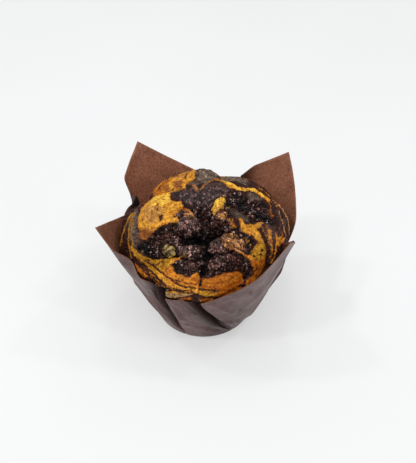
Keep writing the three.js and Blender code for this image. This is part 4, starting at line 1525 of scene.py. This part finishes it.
    def disc_places(self, x: Array, y: Array) -> tuple[Array, Array]:
        """Spreads a square grid evenly over the crown's disc of slopes, out to the case.

        Args:
            x: places across the square, from -1 to 1.
            y: places along the square, from -1 to 1.

        Returns:
            The places u and v.
        """
        wide = np.abs(x) > np.abs(y)
        reach, other = np.where(wide, x, y), np.where(wide, y, x)
        turn = math.pi / 4 * other / np.where(reach == 0, 1.0, reach)
        angle = np.where(wide, turn, math.pi / 2 - turn)
        top = (self.case.height(self.wall_top) - self.crown_level) / self.crown_rise
        slope = reach * math.degrees(math.acos(top))
        return slope * np.cos(angle), slope * np.sin(angle)

    def held(self, places: Array) -> Array:
        """Keeps the crown inside the paper wherever the paper stands beside it.

        Args:
            places: places in millimetres.

        Returns:
            The places, moved in where they would pass through the paper.
        """
        azimuth, radius = round_axis(places)
        limit, past = self.case.inner_limit(azimuth, places[:, 2])
        allowed = limit - self.crown_gap + self.spread * np.maximum(past - 1.0, 0.0)
        share = np.minimum(1.0, allowed / np.maximum(radius, 1e-6))
        return places * np.stack([share, share, np.ones_like(share)], axis=1)

    def add_wall(self, body: Shape) -> None:
        """Carries the crown's edge down the inside of the case and closes it at the bottom.

        Args:
            body: the muffin's mesh.
        """
        ring = [edge for edge in body.edges if edge.is_boundary]
        steps = [(length, 1.0) for length in np.linspace(self.wall_top, 0.0, self.wall_steps + 1)[1:]]
        for length, share in steps + [(0.0, share) for share in self.bottom_shares]:
            ring = self.carry(body, ring, self.case.height(length), share)
        corners = list({vertex for edge in ring for vertex in edge.verts})
        bmesh.ops.pointmerge(body, verts=corners, merge_co=(0.0, 0.0, self.bottom))

    def carry(self, body: Shape, ring: list[Any], height: float, share: float) -> list[Any]:
        """Extrudes a ring of edges to a height, at a share of the case's inner radius.

        Args:
            body: the muffin's mesh.
            ring: the edges.
            height: the new height.
            share: share of the radius.

        Returns:
            The edges of the new ring.
        """
        grown = bmesh.ops.extrude_edge_only(body, edges=ring)["geom"]
        corners = [part for part in grown if isinstance(part, bmesh.types.BMVert)]
        azimuth = np.array([math.atan2(corner.co.y, corner.co.x) for corner in corners])
        limit = self.case.inner_limit(azimuth, np.full_like(azimuth, height))[0]
        for corner, angle, reach in zip(corners, azimuth, (limit - self.side_gap) * share):
            corner.co = (reach * math.cos(angle), reach * math.sin(angle), max(height, self.bottom))
        return [part for part in grown if isinstance(part, bmesh.types.BMEdge)]

    def hollows(self, mesh: bpy.types.Mesh) -> Array:
        """How far each vertex lies below its surroundings, from 0 to 1.

        Args:
            mesh: the mesh.

        Returns:
            One share for each vertex.
        """
        places, normals = surface_of(mesh)
        edges = np.zeros(len(mesh.edges) * 2, int)
        mesh.edges.foreach_get("vertices", edges)
        first, second = edges.reshape(-1, 2).T
        here, there = np.concatenate([first, second]), np.concatenate([second, first])
        links = np.bincount(here)[:, None]
        mean = places
        for _ in range(self.smoothings):
            mean = np.stack([np.bincount(here, axis[there]) for axis in mean.T], axis=1) / links
        return rise(0.02, 0.45, ((mean - places) * normals).sum(axis=1))


@dataclass(frozen=True)
class NutFinish:
    """The cut face of a green nut: olive, streaked pale, with painted highlight on its ridges and painted
    shade in its grooves.
    """

    name: str = "nut_kernel"
    dark: Colour = screen(36, 24, 10)
    tint: Colour = screen(98, 74, 20)
    light: Colour = screen(160, 134, 66)

    def make(self, effects: Effects) -> Material:
        """The nut as a material.

        Args:
            effects: the shared shader groups.

        Returns:
            The material.
        """
        nodes = Finish(self.name, effects)
        height = nodes.group(effects.grain, 1.0, 0.35, 0.4, 0.1)
        stretch = {0: nodes.place, 1: (1.0, 0.4, 0.6)}
        nodes.place = nodes.add("VectorMath", stretch, operation="MULTIPLY").outputs[0]
        streaks = nodes.noise(1.6, 3.0, 0.6)
        # The ridges are painted pale and the grooves dark, as painted highlight and shade.
        value = nodes.sum("MULTIPLY_ADD", streaks, 0.6, nodes.attribute("ridge"))
        colour = nodes.mix(nodes.span(value, 0.5, 1.0), self.dark, self.tint)
        return nodes.surfaced(
            Base_Color=nodes.mix(nodes.span(value, 1.02, 1.34), colour, self.light),
            Roughness=nodes.span(streaks, 0.3, 0.7, 0.5, 0.35),
            Normal=nodes.bump(height),
        )


@dataclass
class NutPiece:
    """A broken piece of nut baked into the crown."""

    muffin: Muffin
    finish: NutFinish = NutFinish()
    u: float = -24.8
    v: float = -41.6
    half_sizes: tuple[float, float, float] = (3.4, 3.0, 2.2)
    sunk: float = 2.2
    turn: float = 112.0

    def build(self, effects: Effects) -> Piece:
        """Makes the nut: a rough lump set into the crumb along the dome's outward direction.

        Args:
            effects: the shared shader groups.

        Returns:
            The nut.
        """
        lump = bmesh.new()
        bmesh.ops.create_icosphere(lump, subdivisions=4, radius=1.0)
        ball = places_of(lump)
        ridge = np.abs(np.cos(3.4 * ball[:, 0] + 2.4 * soft_noise(ball, 0.8, 2.4)))
        rough = 0.76 + 0.24 * ridge + 0.22 * soft_noise(ball, 0.45, 5.1)
        # ridge also paints the finish pale on the ridges and dark in the grooves, as painted highlight and
        # shade.
        store(lump, "ridge", ridge)
        (centre,), (up,) = self.muffin.dome(np.array([self.u]), np.array([self.v]))
        side = np.cross(np.array([0.0, 1.0, 0.0]), up)
        side /= np.linalg.norm(side)
        ahead = np.cross(up, side)
        cosine, sine = math.cos(math.radians(self.turn)), math.sin(math.radians(self.turn))
        axes = np.array([side * cosine + ahead * sine, ahead * cosine - side * sine, up])
        move_to(lump, centre - up * self.sunk + ball * rough[:, None] * np.array(self.half_sizes) @ axes)
        piece = finished(lump, "nut_piece", self.finish.make(effects))
        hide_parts("muffin")
        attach(piece, "root")
        return piece


@dataclass(frozen=True)
class GrainFinish:
    """Moist chocolate crumbs, each a little paler or darker than the next, some with a painted glint."""

    name: str = "moist_grains"
    specular: float = 0.08
    coat_roughness: float = 0.12
    coat_ior: float = 1.35
    glint: Colour = screen(214, 176, 168)
    glint_share: float = 0.36

    def make(self, effects: Effects) -> Material:
        """The crumbs as a material that follows each crumb's own tint.

        Args:
            effects: the shared shader groups.

        Returns:
            The material.
        """
        nodes = Finish(self.name, effects)
        speck = nodes.noise(1.6, 3.0, 0.7)
        shade = nodes.span(speck, 0.35, 0.65, 0.5, 1.6)
        return nodes.surfaced(
            Base_Color=nodes.shaded(nodes.attribute("grain_tint", "Color"), shade),
            Roughness=nodes.span(speck, 0.3, 0.7, 0.2, 0.5),
            Coat_Weight=nodes.span(speck, 0.4, 0.6),
            Normal=nodes.bump(nodes.group(effects.grain, 0.6, 0.12, 0.25, 0.05)),
            Specular_IOR_Level=self.specular,
            Coat_Roughness=self.coat_roughness,
            Coat_IOR=self.coat_ior,
        )


@dataclass
class Grains:
    """Loose moist crumbs that cling to the crown where it is torn open."""

    finish: GrainFinish = GrainFinish()
    doublings: int = 11
    smallest: float = 0.3
    largest: float = 0.95
    pitch: float = 0.85
    sunk: float = 0.45
    seed: int = 7

    def blank(self) -> Shape:
        """Many copies of one round crumb of 24 faces, all in one place.

        Returns:
            The bmesh of all copies.
        """
        grains = bmesh.new()
        bmesh.ops.create_cube(grains, size=1.0)
        bmesh.ops.subdivide_edges(grains, edges=grains.edges[:], cuts=1, use_grid_fill=True)
        corners = places_of(grains)
        move_to(grains, corners / np.linalg.norm(corners, axis=1)[:, None])
        for _ in range(self.doublings):
            bmesh.ops.duplicate(grains, geom=grains.verts[:] + grains.edges[:] + grains.faces[:])
        return grains

    def spread(self, places: Array, order: Sequence[int], count: int) -> list[int]:
        """Picks places in the order given, no two closer than the pitch.

        Args:
            places: all places.
            order: the row numbers to try.
            count: how many to pick at most.

        Returns:
            The row numbers picked.
        """
        taken: dict[tuple[int, ...], list[Array]] = {}
        chosen: list[int] = []
        for index in order:
            x, y, z = cell = tuple(int(value // self.pitch) for value in places[index])
            cells = np.ndindex(3, 3, 3)
            near = [other for i, j, k in cells for other in taken.get((x + i - 1, y + j - 1, z + k - 1), ())]
            if all(((places[index] - other) ** 2).sum() > self.pitch**2 for other in near):
                taken.setdefault(cell, []).append(places[index])
                chosen.append(index)
            if len(chosen) == count:
                break
        return chosen

    def spots(self, crown: bpy.types.Mesh, count: int) -> tuple[Array, Array, Array]:
        """Chooses where the crumbs lie: in clumps, on torn parts, out of the deep cracks.

        Args:
            crown: the crown's mesh with its attributes.
            count: how many crumbs there are at most.

        Returns:
            Their places in millimetres, the outward directions and the batter's tints there.
        """
        places, normals = surface_of(crown)
        wet, deep, pit, edge = (read(crown, name) for name in ("wet", "deep", "pit", "edge"))
        draw = np.random.default_rng(self.seed)
        golden = (edge > -0.5) & (draw.random(len(places)) < 0.6)
        tints = np.where(golden[:, None], 0.65 * read(crown, "gold_tint", 4), read(crown, "dark_tint", 4))
        clump = soft_noise(places, 2.6, 8.8) + 0.5 * draw.standard_normal(len(places))
        open_to = (wet > 0.8) & (clump > 0.1) & (deep < 0.3) & (pit < 0.5)
        order = draw.permutation(np.flatnonzero(open_to)).tolist()
        chosen = self.spread(places, order, count)
        return places[chosen], normals[chosen], tints[chosen]

    def build(self, crown: Piece, effects: Effects) -> Piece:
        """Makes the crumbs as one mesh.

        Args:
            crown: the crown that they lie on.
            effects: the shared shader groups.

        Returns:
            The crumbs.
        """
        grains = self.blank()
        total = 2**self.doublings
        each = len(grains.verts) // total
        places, outward, tints = self.spots(crown.data, total)
        count = len(places)
        bmesh.ops.delete(grains, geom=grains.verts[count * each :], context="VERTS")
        draw = np.random.default_rng(self.seed + 1)
        # Painted glints: some small grains take the glint colour, clustered where the crest noise is high.
        crest = rise(0.0, 0.7, soft_noise(places, 3.4, 2.9))
        pale = draw.random(count) < self.finish.glint_share * crest
        size = self.smallest + (self.largest - self.smallest) * draw.random(count) ** 1.6
        size[pale] = np.minimum(size[pale], 1.6 * self.smallest)
        stretch = 0.6 + 0.9 * draw.random((count, 1, 3))
        turned = np.linalg.qr(draw.standard_normal((count, 3, 3)))[0]
        ball = places_of(grains).reshape(count, each, 3)
        offset = draw.random((count, 1, 3)) * 100.0
        rough = 1.0 + 0.3 * soft_noise((ball + offset).reshape(-1, 3), 0.9, 1.3).reshape(count, each, 1)
        shapes = np.einsum("nij,nkj->nki", turned, ball * rough * stretch)
        centre = places - outward * (size * self.sunk)[:, None]
        move_to(grains, (shapes * size[:, None, None] + centre[:, None]).reshape(-1, 3))
        # Each grain's tone is random, and brighter in the crest clusters as painted highlight.
        shade = (0.3 + 2.6 * draw.random(count) ** 3.0) * (0.6 + 0.9 * crest)
        share = (pale * (0.3 + 0.7 * draw.random(count)))[:, None]
        tints = blend(np.clip(tints * shade[:, None], 0.0, 1.0), np.array(self.finish.glint), share)
        tints[:, 3] = 1.0
        store(grains, "grain_tint", np.repeat(tints, each, axis=0))
        piece = finished(grains, "crumb_grains", self.finish.make(effects))
        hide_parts("muffin")
        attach(piece, "root")
        return piece


@dataclass
class Studio:
    """A pale floor, soft light from above and the camera."""

    floor_half: float = 3000.0
    floor_tints: tuple[Colour, Colour] = (screen(180, 181, 182), screen(176, 178, 178))
    floor_glow: float = 0.405
    floor_roughness: float = 0.75
    sky: float = 0.6
    white: Colour = (1.0, 1.0, 1.0, 1.0)
    lamps: tuple[tuple[float, float, float, float, float], ...] = (
        (0.0, -500.0, 1200.0, 800.0, 4.0),
        (-420.0, -350.0, 850.0, 100.0, 1.5),
        (420.0, -350.0, 850.0, 100.0, 0.75),
        (-520.0, 80.0, 900.0, 100.0, 1.1),
        (520.0, 80.0, 900.0, 100.0, 0.75),
        (0.0, 200.0, 1100.0, 100.0, 0.7),
    )
    image_height: int = 463
    focal_pixels: float = 800.0
    sensor: float = 36.0
    camera_tilt: float = 42.0
    camera_distance: float = 400.0
    target: tuple[float, float, float] = (2.25, 0.0, 51.0)

    def build(self, effects: Effects) -> None:
        """Makes the floor, the light and the camera.

        Args:
            effects: the shared shader groups.
        """
        self.add_floor(effects)
        self.add_light()
        self.add_camera()

    def add_floor(self, effects: Effects) -> None:
        """A wide pale sheet that the case stands on.

        Args:
            effects: the shared shader groups.
        """
        sheet = bmesh.new()
        bmesh.ops.create_grid(sheet, x_segments=2, y_segments=2, size=self.floor_half)
        nodes = Finish("pale_floor", effects)
        pale_floor = nodes.surfaced(
            Base_Color=nodes.mix(nodes.span(nodes.noise(0.004), 0.3, 0.7), *self.floor_tints),
            Roughness=self.floor_roughness,
            Emission_Color=self.white,
            Emission_Strength=self.floor_glow,
        )
        finished(sheet, "floor", pale_floor)

    def add_light(self) -> None:
        """An even sky, one large soft lamp overhead and smaller ones round it."""
        scene = bpy.context.scene
        scene.world = bpy.data.worlds.new("studio")
        scene.world.use_nodes = True
        sky = scene.world.node_tree.nodes["Background"].inputs
        sky["Color"].default_value = self.white
        sky["Strength"].default_value = self.sky
        for x, y, z, size, power in self.lamps:
            light = bpy.data.lights.new("softbox", "AREA")
            light.shape = "DISK"
            light.size = size * MM
            light.energy = power
            lamp = bpy.data.objects.new("softbox", light)
            lamp.location = Vector((x, y, z)) * MM
            aim = Vector((0.0, 0.0, 0.05)) - lamp.location
            lamp.rotation_euler = aim.to_track_quat("-Z", "Y").to_euler()
            scene.collection.objects.link(lamp)
        scene.view_settings.view_transform = "Standard"

    def add_camera(self) -> None:
        """A camera that looks down on the crown over the two low petals."""
        camera = bpy.data.cameras.new("camera")
        camera.sensor_width = self.sensor
        camera.lens = self.focal_pixels * self.sensor / self.image_height
        camera.clip_start = 0.01
        camera.clip_end = 20.0
        viewer = bpy.data.objects.new("camera", camera)
        tilt = math.radians(self.camera_tilt)
        back = Vector((0.0, -math.cos(tilt), math.sin(tilt))) * self.camera_distance
        viewer.location = (Vector(self.target) + back) * MM
        viewer.rotation_euler = (math.pi / 2 - tilt, 0.0, 0.0)
        bpy.context.scene.collection.objects.link(viewer)
        bpy.context.scene.camera = viewer


def main() -> None:
    """Builds the muffin, its case and the studio."""
    logging.basicConfig(level=logging.INFO, format="%(name)s: %(message)s")
    effects = Effects(make_speckle(), make_grain(), make_crumbs())
    Studio().build(effects)
    case = PaperCase()
    muffin = Muffin(case, Marbling())
    crown = muffin.build(effects)
    grains = Grains().build(crown, effects)
    for piece in (case.build(effects), crown, grains, NutPiece(muffin).build(effects)):
        LOG.info("%s has %d faces", piece.name, len(piece.data.polygons))


if __name__ == "__main__":
    main()
